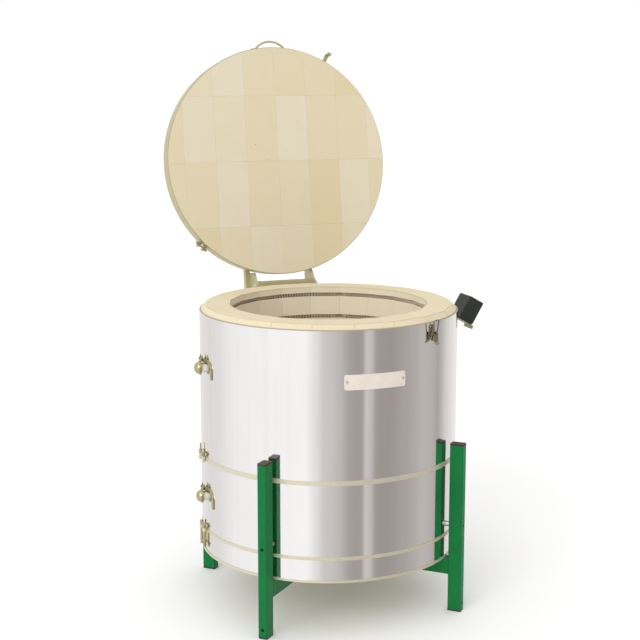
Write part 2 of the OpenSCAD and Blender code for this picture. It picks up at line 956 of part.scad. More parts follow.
// Wire bail with its ends turned into the lever's walls, leaning off the catch
module latch_bail() {
    bend = 5;
    foot_bend = bail_wire_r + 0.5;
    foot_l = 3;
    leg_x = bail_half - bail_wire_r;
    module corner(r, from) {
        rotate([0, 0, from])
            rotate_extrude(angle = 90)
                translate([r, 0])
                    circle(r = bail_wire_r, $fn = 24);
    }
    color(steel_c)
        on_wall(latch_angle)
            translate([0, wall_y(bail_pivot_out), bail_pivot_z])
                rotate([bail_lean, 0, 0])
                    rotate([90, 0, 0])
                        for (m = [0, 1])
                            mirror([m, 0, 0]) {
                                translate([leg_x - foot_bend, foot_bend, 0])
                                    corner(foot_bend, -90);
                                translate([leg_x - bend, bail_h - bend, 0])
                                    corner(bend, 0);
                                translate([leg_x, foot_bend, 0])
                                    rotate([-90, 0, 0])
                                        cylinder(r = bail_wire_r, h = bail_h - bend - foot_bend, $fn = 24);
                                translate([0, bail_h, 0])
                                    rotate([0, 90, 0])
                                        cylinder(r = bail_wire_r, h = leg_x - bend, $fn = 24);
                                translate([leg_x - foot_bend - foot_l, 0, 0])
                                    rotate([0, 90, 0])
                                        cylinder(r = bail_wire_r, h = foot_l, $fn = 24);
                            }
}

// Puts the control unit's parts in place: X down the slope, Y along, Z out of the face
module control_pose() {
    translate([control_x, 0, control_z])
        rotate([0, control_tilt, 0])
            children();
}

// Strap from the jacket under the control housing with a folded end
module control_bracket() {
    half = control_l / 2 - 8;
    reach = control_w / 2 + 12;
    back = -(control_w / 2 + 60);
    fold = 12;
    foot_h = 56;
    color(olive_c)
        difference() {
            translate([0, half, 0])
                rotate([90, 0, 0])
                    linear_extrude(2 * half) {
                        translate([control_x, control_z])
                            rotate(-control_tilt) {
                                translate([back, -control_d / 2 - bracket_t])
                                    square([reach - back, bracket_t]);
                                translate([reach - bracket_t, -control_d / 2 - fold])
                                    square([bracket_t, fold]);
                            }
                        translate([jacket_r - 2 * bracket_t, control_z - 6 - foot_h])
                            square([3 * bracket_t, foot_h]);
                    }
            cylinder(r = jacket_r + seat_gap, h = 2 * rim_z, $fn = 180);
        }
}

module control_housing() {
    color(black_c)
        control_pose()
            difference() {
                translate([0, control_l / 2, 0])
                    rotate([90, 0, 0])
                        linear_extrude(control_l)
                            rounded_rect(control_w, control_d, control_round);
                translate([0, 0, control_d / 2 - 2])
                    linear_extrude(2 + past)
                        rounded_rect(control_w - 8, control_l - 8, 3);
            }
}

// Face plate set into the housing with openings for the window and keys
module control_face() {
    color("darkslategray")
        control_pose()
            translate([0, 0, control_d / 2 - 2])
                linear_extrude(1.5)
                    difference() {
                        rounded_rect(control_w - 8 - 2 * seat_gap, control_l - 8 - 2 * seat_gap, 3);
                        translate([-control_w / 2 + 17, 0])
                            rounded_rect(20, control_l - 24, 2);
                        translate([control_w / 2 - 15, 0])
                            rounded_rect(16, control_l - 24, 2);
                    }
}

module control_display() {
    color("black")
        control_pose()
            translate([-control_w / 2 + 17, 0, control_d / 2 - 2])
                linear_extrude(1)
                    rounded_rect(20 - 2 * seat_gap, control_l - 24 - 2 * seat_gap, 2);
}

// Membrane sheet with four raised pads
module control_keypad() {
    pads = 4;
    pitch = (control_l - 26) / pads;
    color("gray")
        control_pose()
            translate([control_w / 2 - 15, 0, control_d / 2 - 2]) {
                linear_extrude(1)
                    rounded_rect(16 - 2 * seat_gap, control_l - 24 - 2 * seat_gap, 2);
                for (k = [0 : pads - 1])
                    translate([0, (k - (pads - 1) / 2) * pitch, 0])
                        linear_extrude(1.8)
                            rounded_rect(10, pitch - 4, 2);
            }
}

// Ceramic tubes through the wall behind the peephole covers
module peephole_tubes() {
    color("white")
        for (z = [peep_upper_z, peep_lower_z])
            difference() {
                radial_rod(180, z, peep_r, chamber_r + 1, jacket_r + tube_proud);
                radial_rod(180, z, peep_r - 4, chamber_r - past, jacket_r + tube_proud + past);
            }
}

// Puts a peephole fitting drawn at the front onto the left side at a height
module peep_pose(z) {
    on_wall(-90)
        translate([0, 0, z])
            children();
}

// Outline of a peephole's strap: a bar over the tube's mouth, bent round to a tail on the front side
module strap_outline(bar_half) {
    turn_x = strap_tail_x - strap_low - strap_w / 2;
    translate([-bar_half, strap_low])
        square([turn_x + bar_half, strap_w]);
    translate([turn_x, 0])
        intersection() {
            difference() {
                circle(r = strap_low + strap_w);
                circle(r = strap_low);
            }
            square(strap_low + strap_w);
        }
    translate([strap_tail_x - strap_w / 2, -strap_tail_drop])
        square([strap_w, strap_tail_drop]);
    translate([strap_tail_x, -strap_tail_drop])
        circle(r = strap_w / 2);
}

// Strap rolled to the jacket's curve with two pointed lugs for the cover's pin
module peephole_bases() {
    lug_in = 10;
    lug_t = 3;
    lug_r = 6;
    tip_h = 14;
    shell_h = 2 * (strap_low + strap_w + strap_tail_drop);
    color(olive_c)
        for (z = [peep_upper_z, peep_lower_z])
            peep_pose(z)
                difference() {
                    union() {
                        intersection() {
                            translate([0, 0, -shell_h / 2])
                                ring(jacket_r + seat_gap, jacket_r + seat_gap + strap_t, shell_h);
                            rotate([90, 0, 0])
                                linear_extrude(2 * jacket_r)
                                    strap_outline(lug_in + lug_t + 1);
                        }
                        plate_pair(lug_in, lug_t) {
                            translate([wall_y(flap_pivot_out), flap_pivot_up])
                                circle(r = lug_r);
                            polygon([
                                [wall_y(strap_t / 2), strap_low + 1],
                                [wall_y(strap_t / 2), strap_low + strap_w - 1],
                                [wall_y(flap_pivot_out), flap_pivot_up + lug_r],
                                [wall_y(flap_pivot_out + 5), flap_pivot_up - 3.5]
                            ]);
                            polygon([
                                [wall_y(flap_pivot_out - 3), flap_pivot_up],
                                [wall_y(flap_pivot_out + 3), flap_pivot_up],
                                [wall_y(flap_pivot_out + 1), flap_pivot_up + tip_h],
                                [wall_y(flap_pivot_out - 1), flap_pivot_up + tip_h]
                            ]);
                        }
                    }
                    translate([0, wall_y(flap_pivot_out), flap_pivot_up])
                        x_rod(latch_pin_r, cross_cut);
                }
}

module peephole_pins() {
    color(steel_c)
        for (z = [peep_upper_z, peep_lower_z])
            peep_pose(z)
                translate([0, wall_y(flap_pivot_out), flap_pivot_up])
                    x_rod(latch_pin_r, flap_pin_l);
}

// Hanging cover: knuckle, strap and a domed cap over the tube's mouth
module peephole_flap(z) {
    knuckle_r = 4.5;
    face = tube_proud + flap_gap;
    strap_half = 9.7;
    edge = 3;
    color(olive_c)
        peep_pose(z)
            difference() {
                union() {
                    translate([0, wall_y(flap_pivot_out), flap_pivot_up])
                        x_rod(knuckle_r, 2 * strap_half);
                    x_plate(-strap_half, strap_half)
                        polygon([
                            [wall_y(flap_pivot_out - 1), flap_pivot_up],
                            [wall_y(flap_pivot_out + 4), flap_pivot_up],
                            [wall_y(face + 4), flap_r - 9],
                            [wall_y(face), flap_r - 9],
                            [wall_y(face), peep_r + 4]
                        ]);
                    translate([0, wall_y(face), 0])
                        rotate([90, 0, 0])
                            rotate_extrude()
                                polygon(concat(
                                    [[0, 0], [flap_r, 0], [flap_r, edge]],
                                    [for (a = [0 : 15 : 90])
                                        [(flap_r - edge) * cos(a), edge + (dome_h - edge) * sin(a)]]
                                ));
                }
                translate([0, wall_y(flap_pivot_out), flap_pivot_up])
                    x_rod(latch_pin_r + slip, cross_cut);
            }
}

module peephole_flap_upper() peephole_flap(peep_upper_z);
module peephole_flap_lower() peephole_flap(peep_lower_z);

module lid_bricks() {
    color(brick_c)
        lid_pose()
            translate([0, 0, lid_z])
                brick_slab(lid_brick_r, lid_t - lid_band_t - seat_gap);
}

// Angle-section hoop round the lid, split where its clamp pulls it tight
module lid_band() {
    color(olive_c)
        lid_pose()
            rotate([0, 0, lid_split + lid_split_half])
                rotate_extrude(angle = 360 - 2 * lid_split_half, $fn = 180)
                    polygon([
                        [lid_r - lid_band_t, lid_z + lid_band_up],
                        [lid_r, lid_z + lid_band_up],
                        [lid_r, lid_top],
                        [lid_r - lid_flange, lid_top],
                        [lid_r - lid_flange, lid_top - lid_band_t],
                        [lid_r - lid_band_t, lid_top - lid_band_t]
                    ]);
}

// Two lugs on the hoop's ends with a bolt between them
module lid_band_clamp() {
    lug_h = 30;
    lug_out = 18;
    lug_t = 8;
    mid_z = lid_z + lid_t / 2;
    bolt_r = 3;
    split = lid_r * sin(lid_split_half);
    color(olive_c)
        lid_pose()
            rotate([0, 0, lid_split]) {
                difference() {
                    for (s = [-1, 1])
                        translate([lid_r - 2, s * (split + 1 + lug_t / 2) - lug_t / 2, mid_z - lug_h / 2])
                            cube([lug_out + 2, lug_t, lug_h]);
                    cylinder(r = lid_r + seat_gap, h = 2 * lid_top, $fn = 180);
                }
                translate([lid_r + lug_out / 2 + 1, 0, mid_z])
                    rotate([90, 0, 0]) {
                        cylinder(r = bolt_r, h = 2 * (split + lug_t) + 24, center = true);
                        for (s = [-1, 1])
                            translate([0, 0, s * (split + 1 + lug_t + 2.5)])
                                cylinder(r = 2 * bolt_r, h = 5, center = true, $fn = 6);
                    }
            }
}

// Bar across the lid's top with a plate that hangs down to the hinge pin
module lid_arm(s) {
    x0 = s > 0 ? arm_x - arm_w / 2 : -arm_x - arm_w / 2;
    p0 = s > 0 ? plate_x : -plate_x - hinge_plate_t;
    plate_y = sqrt(lid_r * lid_r - plate_x * plate_x) + 4;
    plate_drop = 50;
    color(olive_c)
        lid_pose()
            difference() {
                union() {
                    translate([x0, -bolt_y - 12, lid_top + slip])
                        cube([arm_w, hinge_y + arm_tail + bolt_y + 12, arm_h - slip]);
                    x_plate(p0, p0 + hinge_plate_t) {
                        polygon([
                            [plate_y, lid_top + arm_h - 3],
                            [plate_y, lid_top - plate_drop],
                            [hinge_y - boss_r * cos(45), hinge_z - boss_r * sin(45)],
                            [hinge_y + boss_r, hinge_z],
                            [hinge_y + 6, lid_top],
                            [hinge_y + 6, lid_top + arm_h - 3]
                        ]);
                        translate([hinge_y, hinge_z])
                            circle(r = boss_r);
                    }
                }
                translate([0, hinge_y, hinge_z])
                    x_rod(pin_r + slip, 4 * arm_x);
                for (sy = [-1, 1])
                    translate([s * arm_x, sy * bolt_y, lid_top - past])
                        cylinder(r = screw_r + slip, h = arm_h + 2 * past);
            }
}

module lid_arm_left() lid_arm(-1);
module lid_arm_right() lid_arm(1);

// Bolts that hold the arms down on the hoop's flange
module lid_bolts() {
    color(steel_c)
        lid_pose()
            for (sx = [-1, 1], sy = [-1, 1])
                translate([sx * arm_x, sy * bolt_y, lid_top]) {
                    translate([0, 0, slip])
                        cylinder(r = screw_r, h = arm_h);
                    translate([0, 0, arm_h])
                        cylinder(r = 2 * screw_r, h = screw_r + 1, $fn = 6);
                }
}

// Bowed wire handle with a foot at each end on the hoop
module lid_handle() {
    wire = 3.5;
    foot_w = 16;
    foot_t = 3;
    half = handle_w / 2 - wire;
    rise = handle_out - wire;
    bow_r = (half * half + rise * rise) / (2 * rise);
    bow_half = atan2(half, bow_r - rise);
    mid_z = lid_z + lid_t / 2;
    color(olive_c)
        lid_pose()
            difference() {
                union() {
                    translate([0, -lid_r - rise + bow_r, mid_z])
                        rotate([0, 0, -90 - bow_half])
                            rotate_extrude(angle = 2 * bow_half)
                                translate([bow_r, 0])
                                    circle(r = wire, $fn = 24);
                    for (s = [-1, 1])
                        translate([s * (half + 5), 0, mid_z])
                            rotate([90, 0, 0])
                                linear_extrude(lid_r + foot_t - half * half / (2 * lid_r))
                                    rounded_rect(foot_w + 10, foot_w, 5);
                }
                cylinder(r = lid_r + seat_gap, h = 2 * lid_top, $fn = 180);
            }
}

// Hook that reaches from the lid's hoop down over the jacket's edge to the bail
module lid_catch() {
    half = 7;
    t = 3;
    drop_out = 9;
    foot_z = lid_z + 10;
    foot_h = 28;
    lip_z = bail_pivot_z + (bail_h - bail_wire_r) * cos(bail_lean) - 6;
    color(olive_c)
        lid_pose()
            on_wall(latch_angle)
                difference() {
                    union() {
                        translate([-half, -lid_r - t, foot_z])
                            cube([2 * half, t + 2, foot_h]);
                        x_plate(-half, half)
                            polygon([
                                [-lid_r, foot_z],
                                [-lid_r, foot_z + t],
                                [wall_y(drop_out), foot_z + t],
                                [wall_y(drop_out), lip_z + t],
                                [wall_y(drop_out + 4), lip_z + t + 1],
                                [wall_y(drop_out + 4), lip_z],
                                [wall_y(drop_out - t), lip_z],
                                [wall_y(drop_out - t), foot_z]
                            ]);
                    }
                    cylinder(r = lid_r + seat_gap, h = 2 * lid_top, $fn = 180);
                }
}

leg_front_left();
leg_front_right();
leg_rear_left();
leg_rear_right();
leg_top_plugs();
leg_foot_plugs();
cross_beam_long();
cross_beam_halves();
leg_standoffs();
leg_screws();
base_plate();
floor_insulation();
floor_bricks();
wall_course_lower();
wall_course_middle();
wall_course_upper();
wall_insulation();
jacket();
upper_band();
upper_band_clamp();
lower_band();
lower_band_clamp();
heating_element_top();
heating_elements_lower();
element_bushings();
element_terminals();
terminal_cover();
cable_gland();
thermocouple();
hinge_bracket();
hinge_crossbar();
hinge_pins();
hinge_bolts();
lid_stop();
latch_base();
latch_pin();
latch_lever();
latch_bail();
control_bracket();
control_housing();
control_face();
control_keypad();
control_display();
peephole_tubes();
peephole_bases();
peephole_pins();
peephole_flap_upper();
peephole_flap_lower();
lid_bricks();
lid_band();
lid_band_clamp();
lid_arm_left();
lid_arm_right();
lid_handle();
lid_catch();
lid_bolts();
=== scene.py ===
# Top-loading kiln: finishes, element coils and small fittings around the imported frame
import json
import math

import bmesh
import bpy
from mathutils import Matrix, Vector


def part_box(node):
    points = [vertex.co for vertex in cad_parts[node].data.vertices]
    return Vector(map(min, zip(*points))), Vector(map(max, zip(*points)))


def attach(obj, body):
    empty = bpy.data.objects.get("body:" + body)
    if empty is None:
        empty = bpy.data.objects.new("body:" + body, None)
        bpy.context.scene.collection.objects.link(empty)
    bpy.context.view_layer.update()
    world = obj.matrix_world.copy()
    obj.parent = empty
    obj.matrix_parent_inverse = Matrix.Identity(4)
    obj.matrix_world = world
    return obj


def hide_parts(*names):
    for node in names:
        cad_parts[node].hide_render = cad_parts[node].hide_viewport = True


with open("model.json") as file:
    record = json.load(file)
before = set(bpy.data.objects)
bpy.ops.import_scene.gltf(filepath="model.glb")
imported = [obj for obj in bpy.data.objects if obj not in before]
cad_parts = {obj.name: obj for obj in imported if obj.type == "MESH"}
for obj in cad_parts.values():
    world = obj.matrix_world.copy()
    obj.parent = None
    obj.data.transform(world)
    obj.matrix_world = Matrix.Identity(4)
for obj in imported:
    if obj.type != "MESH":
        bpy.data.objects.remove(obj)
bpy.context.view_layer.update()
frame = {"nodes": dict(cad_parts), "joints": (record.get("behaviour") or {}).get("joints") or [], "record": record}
joints = {joint["name"]: joint for joint in frame["joints"]}


def node_corners(node):
    """Lowest and highest corners of a node at rest."""
    low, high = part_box(node)
    return Vector(low), Vector(high)


def middle_height(node):
    """Height of the middle of a node's box."""
    low, high = node_corners(node)
    return (low.z + high.z) / 2


# Sizes read from the frame, in metres
JACKET_R = node_corners("jacket")[1].x
JACKET_TOP = node_corners("jacket")[1].z
BASE_EDGE_TOP = node_corners("base_plate")[1].z
UPPER_BAND_Z = middle_height("upper_band")
LOWER_BAND_Z = middle_height("lower_band")
TOP_ROW_Z = middle_height("heating_element_top")
COVER_LOW, COVER_HIGH = (corner.z for corner in node_corners("terminal_cover"))
HINGE = Vector(joints["lid_hinge"]["pos_m"])
LID_OPEN = math.radians(joints["lid_hinge"]["range_deg"][1])
LATCH = Vector(joints["latch_lever_turn"]["pos_m"])
FLAP_PINS = [Vector(joints["peephole_flap_%s_swing" % place]["pos_m"]) for place in ("upper", "lower")]

# Bricks and grooves: a wall brick takes two half steps round the chamber, and each course below
# the top one has its first groove at GROOVE_DEEP under its upper joint
BRICK_GAP = 0.0004
BRICK_W, BRICK_L = 0.114, 0.230
WALL_Z = node_corners("wall_course_lower")[0].z - BRICK_GAP / 2
COURSE_H = node_corners("wall_course_middle")[0].z - node_corners("wall_course_lower")[0].z
RIM_Z = WALL_Z + 3 * COURSE_H
CHAMBER_R = 0.320
MID_WALL_R = CHAMBER_R + 0.04
HALF_STEP = math.radians(9)
GROOVE_PITCH = 0.077
GROOVE_DEEP = 0.046
GROOVE_BACK_R = 0.346
BLANKET_SLOPE_R = 0.412

# Heating elements: curls of wire, with two leads a little apart that pass through the wall at the back
ELEMENT_R = 0.33407
CURL_R, WIRE_R, CURL_PITCH = 0.0061, 0.0015, 0.0100
CURL_STEPS, WIRE_SIDES, LEAD_SIDES = 8, 6, 8
CURL_WELD = 0.0003
LEAD_ANGLE = 7 * HALF_STEP
LEAD_HALF = math.radians(2.6)
LEAD_END = JACKET_R + 0.034

# Terminal cover, control unit, peephole straps and latch plate
COVER_HALF_W = 0.055
COVER_HALF = math.asin(COVER_HALF_W / JACKET_R)
CONTROL_AT = Vector((JACKET_R + 0.077, 0, JACKET_TOP - 0.034))
CONTROL_TILT = math.radians(30)
CONTROL_FACE = 0.041
FLAP_PIN_RISE = 0.028
STRAP_R = JACKET_R + 0.0033
STRAP_TAIL = 0.066
LATCH_PLATE_R = JACKET_R + 0.0023

# Sheets laid on the jacket
SHEET_GAP = 0.00003
SHEET_STEPS = 12
CORNER_STEPS = 4


def from_front(degrees):
    """Angle from +X of a place so many degrees to the right of the front."""
    return math.radians(degrees - 90)


def on_shell(angle, radius, z):
    return Vector((radius * math.cos(angle), radius * math.sin(angle), z))


def outward(angle):
    return Vector((math.cos(angle), math.sin(angle), 0))


# Helpers for shader nodes
def start_material(name):
    material = bpy.data.materials.new(name)
    material.use_nodes = True
    tree = material.node_tree
    return material, tree, tree.nodes["Principled BSDF"]


def is_socket(value):
    return isinstance(value, bpy.types.NodeSocket)


def put(tree, kind, inputs=None, **settings):
    """A node with its settings, and each input set to a value or linked to a socket."""
    made = tree.nodes.new(kind)
    for key, value in settings.items():
        setattr(made, key, value)
    for key, value in (inputs or {}).items():
        if is_socket(value):
            tree.links.new(value, made.inputs[key])
        else:
            made.inputs[key].default_value = value
    return made


def sums(tree, operation, *values):
    return put(tree, "ShaderNodeMath", dict(enumerate(values)), operation=operation).outputs[0]


def times(tree, first, second):
    return sums(tree, "MULTIPLY", first, second)


def blend_colour(tree, amount, first, second):
    """One colour moved towards another by an amount from nought to one."""
    colours = [value if is_socket(value) else (*value[:3], 1) for value in (first, second)]
    inputs = {0: amount, 6: colours[0], 7: colours[1]}
    return put(tree, "ShaderNodeMix", inputs, data_type="RGBA").outputs[2]


def object_point(tree):
    return tree.nodes.new("ShaderNodeTexCoord").outputs["Object"]


def split(tree, point):
    return put(tree, "ShaderNodeSeparateXYZ", {0: point}).outputs


def stretched(tree, point, scale):
    return put(tree, "ShaderNodeMapping", {"Vector": point, "Scale": scale}).outputs[0]


def noise(tree, point, scale, detail=3.0, rough=0.5):
    return put(tree, "ShaderNodeTexNoise", {
        "Vector": point, "Scale": scale, "Detail": detail, "Roughness": rough}).outputs[0]


def ranged(tree, value, low, high, out_low=0.0, out_high=1.0):
    """A value's way from low to high, held at both ends, as a way from out_low to out_high."""
    return put(tree, "ShaderNodeMapRange", {
        0: value, 1: low, 2: high, 3: out_low, 4: out_high}).outputs[0]


def feed(tree, socket, bsdf, name):
    tree.links.new(socket, bsdf.inputs[name])


def relief(tree, bsdf, height, strength, depth, under=None):
    """Fine relief on the surface, over the normal of eased edges where one is given."""
    bump = put(tree, "ShaderNodeBump", {"Strength": strength, "Distance": depth, "Height": height})
    if under:
        tree.links.new(under, bump.inputs["Normal"])
    feed(tree, bump.outputs[0], bsdf, "Normal")


def eased_edges(tree, radius):
    """The normal of slightly rounded edges, and a mask that is one along them."""
    rounded = put(tree, "ShaderNodeBevel", {"Radius": radius}, samples=4).outputs[0]
    flat = tree.nodes.new("ShaderNodeNewGeometry").outputs["True Normal"]
    turned = put(tree, "ShaderNodeVectorMath", {0: rounded, 1: flat}, operation="DOT_PRODUCT")
    return rounded, ranged(tree, turned.outputs["Value"], 0.985, 0.80)


# Firebrick colours, and the numbers that pick which bricks are pale
CREAM = (0.705, 0.625, 0.440)
PALE = (0.722, 0.660, 0.515)
STRAW = (0.670, 0.575, 0.355)
# Paler colour painted on the chamber's hot face as painted light
HOT_FACE_PAINTED_LIGHT = (0.825, 0.755, 0.595)
SHADED_CREAM = (0.50, 0.41, 0.25)
IRON_SPOT = (0.22, 0.16, 0.09)
# Pale colour on the joints: painted light over the shade in the gaps between bricks
JOINT_PAINTED_LIGHT = (0.93, 0.87, 0.72)
# Brown painted in patches inside the element grooves as painted shade
GROOVE_PAINTED_SHADE = (0.44, 0.35, 0.22)
SLAB_TINTS = 345300.0
WALL_TINTS = 7.0

# Colours of paint, wire, ceramics, blanket, plate and window
LEG_GREEN, LEG_GREEN_CLOUD = (0.0015, 0.150, 0.034), (0.0035, 0.178, 0.043)
LEG_RUB, LEG_EDGE = (0.015, 0.21, 0.07), (0.03, 0.25, 0.09)
WIRE_SCALE, WIRE_FLECK = (0.80, 0.73, 0.60), (0.91, 0.85, 0.73)
CERAMIC_WHITE, CERAMIC_FLECK = (0.88, 0.85, 0.78), (0.74, 0.68, 0.56)
BLANKET_SKIN, BLANKET_TUFT = (0.735, 0.650, 0.465), (0.695, 0.605, 0.420)
# The second colour on the next line is painted shadow for the gap just above the jacket's edge
BLANKET_TICK, BLANKET_PAINTED_SHADOW = (0.60, 0.50, 0.34), (0.30, 0.25, 0.17)
PLATE_PALE, PLATE_AGED = (0.76, 0.69, 0.61), (0.69, 0.62, 0.52)
WINDOW_DARK, WINDOW_FILM = (0.008, 0.009, 0.010), (0.014, 0.015, 0.016)


def firebrick(name, cell, joint_gap, tint_share, painted_light_and_shade=None):
    """Porous insulating brick: a tint for each brick, joints painted pale as painted light over the shade in their
    gaps, pores and a few iron spots.
    cell gives a brick's number at a point, and joint_gap the distance to its nearest joint.
    The last argument, where given, paints light and shade into the colour: paler on the hot face, darker in the
    grooves."""
    material, tree, bsdf = start_material(name)
    point = object_point(tree)
    chance = put(tree, "ShaderNodeTexWhiteNoise", {"Vector": cell(tree, point)}, noise_dimensions="3D")
    other = put(tree, "ShaderNodeSeparateColor", {0: chance.outputs[1]}).outputs[2]
    pale_brick = ranged(tree, chance.outputs[0], 0.40, 0.95, out_high=tint_share)
    body = blend_colour(tree, pale_brick, CREAM, PALE)
    straw_brick = ranged(tree, other, 0.70, 1.0, out_high=0.8 * tint_share)
    body = blend_colour(tree, straw_brick, body, STRAW)
    cloud = noise(tree, point, scale=14, detail=4, rough=0.6)
    body = blend_colour(tree, ranged(tree, cloud, 0.40, 0.75, out_high=0.22), body, STRAW)
    grain = noise(tree, point, scale=420, rough=0.65)
    body = blend_colour(tree, ranged(tree, grain, 0.45, 0.75, out_high=0.14), body, SHADED_CREAM)
    spots = put(tree, "ShaderNodeTexVoronoi", {"Vector": point, "Scale": 26.0})
    lone = put(tree, "ShaderNodeSeparateColor", {0: spots.outputs[1]}).outputs[0]
    near_spot = ranged(tree, spots.outputs[0], 0.065, 0.030)
    spot = times(tree, near_spot, ranged(tree, lone, 0.86, 0.87))
    body = blend_colour(tree, times(tree, spot, 0.75), body, IRON_SPOT)
    # Joints painted pale: painted light that cancels the shade in the gaps between bricks
    joint = ranged(tree, joint_gap(tree, point), 0.0016, 0.0004)
    body = blend_colour(tree, times(tree, joint, 0.22), body, JOINT_PAINTED_LIGHT)
    if painted_light_and_shade:
        body = painted_light_and_shade(tree, point, body)
    feed(tree, body, bsdf, "Base Color")
    bsdf.inputs["Roughness"].default_value = 0.92
    bsdf.inputs["Specular IOR Level"].default_value = 0.2
    pitted = sums(tree, "SUBTRACT", grain, times(tree, spot, 0.6))
    relief(tree, bsdf, pitted, strength=0.35, depth=0.0009)
    return material


def on_closed_lid(tree, point):
    """The point as it lies on the closed lid, where the bricks are square to X and Y."""
    place = HINGE - Matrix.Rotation(LID_OPEN, 3, "X") @ HINGE
    return put(tree, "ShaderNodeMapping", {
        "Vector": point, "Rotation": (LID_OPEN, 0, 0), "Location": place}).outputs[0]


def slab_cell(tree, point):
    """Column and row of a brick in a flat slab, with the number that picks the pale ones."""
    axes = split(tree, point)
    column = sums(tree, "FLOOR", sums(tree, "DIVIDE", axes[0], BRICK_W))
    row = sums(tree, "FLOOR", sums(tree, "DIVIDE", axes[1], BRICK_L))
    return put(tree, "ShaderNodeCombineXYZ", {0: column, 1: row, 2: SLAB_TINTS}).outputs[0]


def slab_joint_gap(tree, point):
    """Distance to the nearest whole multiple of a brick's width or length.
    The shift of 20 bricks keeps the remainder from going below nought."""
    axes = split(tree, point)
    gaps = []
    for axis, size in ((axes[0], BRICK_W), (axes[1], BRICK_L)):
        shifted = sums(tree, "MODULO", sums(tree, "ADD", axis, 20.5 * size), size)
        gaps.append(sums(tree, "ABSOLUTE", sums(tree, "SUBTRACT", shifted, size / 2)))
    return sums(tree, "MINIMUM", *gaps)


def lid_cell(tree, point):
    return slab_cell(tree, on_closed_lid(tree, point))


def lid_joint_gap(tree, point):
    return slab_joint_gap(tree, on_closed_lid(tree, point))


def wall_turn(tree, axes):
    """Angle round the wall counted in bricks, with whole numbers at the joints."""
    angle = sums(tree, "ARCTAN2", axes[1], axes[0])
    return sums(tree, "DIVIDE", sums(tree, "ADD", angle, 2.5 * math.pi + HALF_STEP), 2 * HALF_STEP)


def wall_level(tree, axes):
    """Height up the wall counted in courses."""
    return sums(tree, "DIVIDE", sums(tree, "SUBTRACT", axes[2], WALL_Z), COURSE_H)


def wall_radius(tree, axes):
    squares = [times(tree, axis, axis) for axis in axes[:2]]
    return sums(tree, "SQRT", sums(tree, "ADD", *squares))


def wall_cell(tree, point):
    axes = split(tree, point)
    brick = sums(tree, "FLOOR", wall_turn(tree, axes))
    course = sums(tree, "FLOOR", wall_level(tree, axes))
    return put(tree, "ShaderNodeCombineXYZ", {0: brick, 1: course, 2: WALL_TINTS}).outputs[0]


def upright_joint_gap(tree, axes):
    """Distance round the wall to the nearest upright joint."""
    near = sums(tree, "PINGPONG", wall_turn(tree, axes), 0.5)
    return times(tree, near, 2 * HALF_STEP * MID_WALL_R)


def wall_joint_gap(tree, point):
    """Distance to the nearest upright or level joint. The rim's flat top is no level joint."""
    axes = split(tree, point)
    between_courses = times(tree, sums(tree, "PINGPONG", wall_level(tree, axes), 0.5), COURSE_H)
    rim = ranged(tree, axes[2], RIM_Z - 0.02, RIM_Z - 0.01)
    level_gap = sums(tree, "MAXIMUM", between_courses, rim)
    return sums(tree, "MINIMUM", upright_joint_gap(tree, axes), level_gap)


def wall_painted_light_and_shade(tree, point, body):
    """Paler on the hot face as painted light, and browner in patches inside the element grooves as painted shade.
    """
    axes = split(tree, point)
    out = wall_radius(tree, axes)
    below_rim = ranged(tree, axes[2], RIM_Z - 0.001, RIM_Z - 0.006)
    # Painted light: the chamber's face below the rim is made paler
    painted_light_face = times(tree, ranged(tree, out, CHAMBER_R + 0.030, CHAMBER_R + 0.020), below_rim)
    body = blend_colour(tree, times(tree, painted_light_face, 0.85), body, HOT_FACE_PAINTED_LIGHT)
    past_mouth = ranged(tree, out, CHAMBER_R + 0.008, CHAMBER_R + 0.014)
    inside = times(tree, past_mouth, ranged(tree, out, GROOVE_BACK_R + 0.006, GROOVE_BACK_R))
    patches = noise(tree, point, scale=18, rough=0.6)
    patch = ranged(tree, patches, 0.35, 0.7, out_low=0.25, out_high=0.7)
    # Painted shade: patchy brown inside the grooves
    painted_shade_in_grooves = times(tree, times(tree, inside, below_rim), patch)
    return blend_colour(tree, painted_shade_in_grooves, body, GROOVE_PAINTED_SHADE)


# Metals, paint, plastics and ceramics
def polished_sheet(name, colour, rough, wave):
    """Mirror-polished stainless sheet with a faint roll wave and hazy upright smears."""
    material, tree, bsdf = start_material(name)
    point = object_point(tree)
    bsdf.inputs["Metallic"].default_value = 1.0
    smear = noise(tree, stretched(tree, point, (5, 5, 1.2)), scale=3, detail=4, rough=0.55)
    streak = noise(tree, stretched(tree, point, (48, 48, 0.2)), scale=1, rough=0.6)
    dulled = [0.94 * part for part in colour]
    smeared = ranged(tree, smear, 0.35, 0.7, out_high=0.6)
    clouded = sums(tree, "ADD", smeared, ranged(tree, streak, 0.35, 0.65, out_high=0.4))
    feed(tree, blend_colour(tree, clouded, colour, dulled), bsdf, "Base Color")
    fine = noise(tree, stretched(tree, point, (160, 160, 6)), scale=4, detail=2)
    hazy = ranged(tree, smear, 0.3, 0.75, out_low=0.85 * rough, out_high=1.3 * rough)
    scratched = ranged(tree, fine, 0.3, 0.7, out_high=0.25 * rough)
    feed(tree, sums(tree, "ADD", hazy, scratched), bsdf, "Roughness")
    rolled = noise(tree, stretched(tree, point, (7, 7, 0.5)), scale=1.6, detail=2, rough=0.4)
    relief(tree, bsdf, rolled, strength=wave, depth=0.004)
    return material


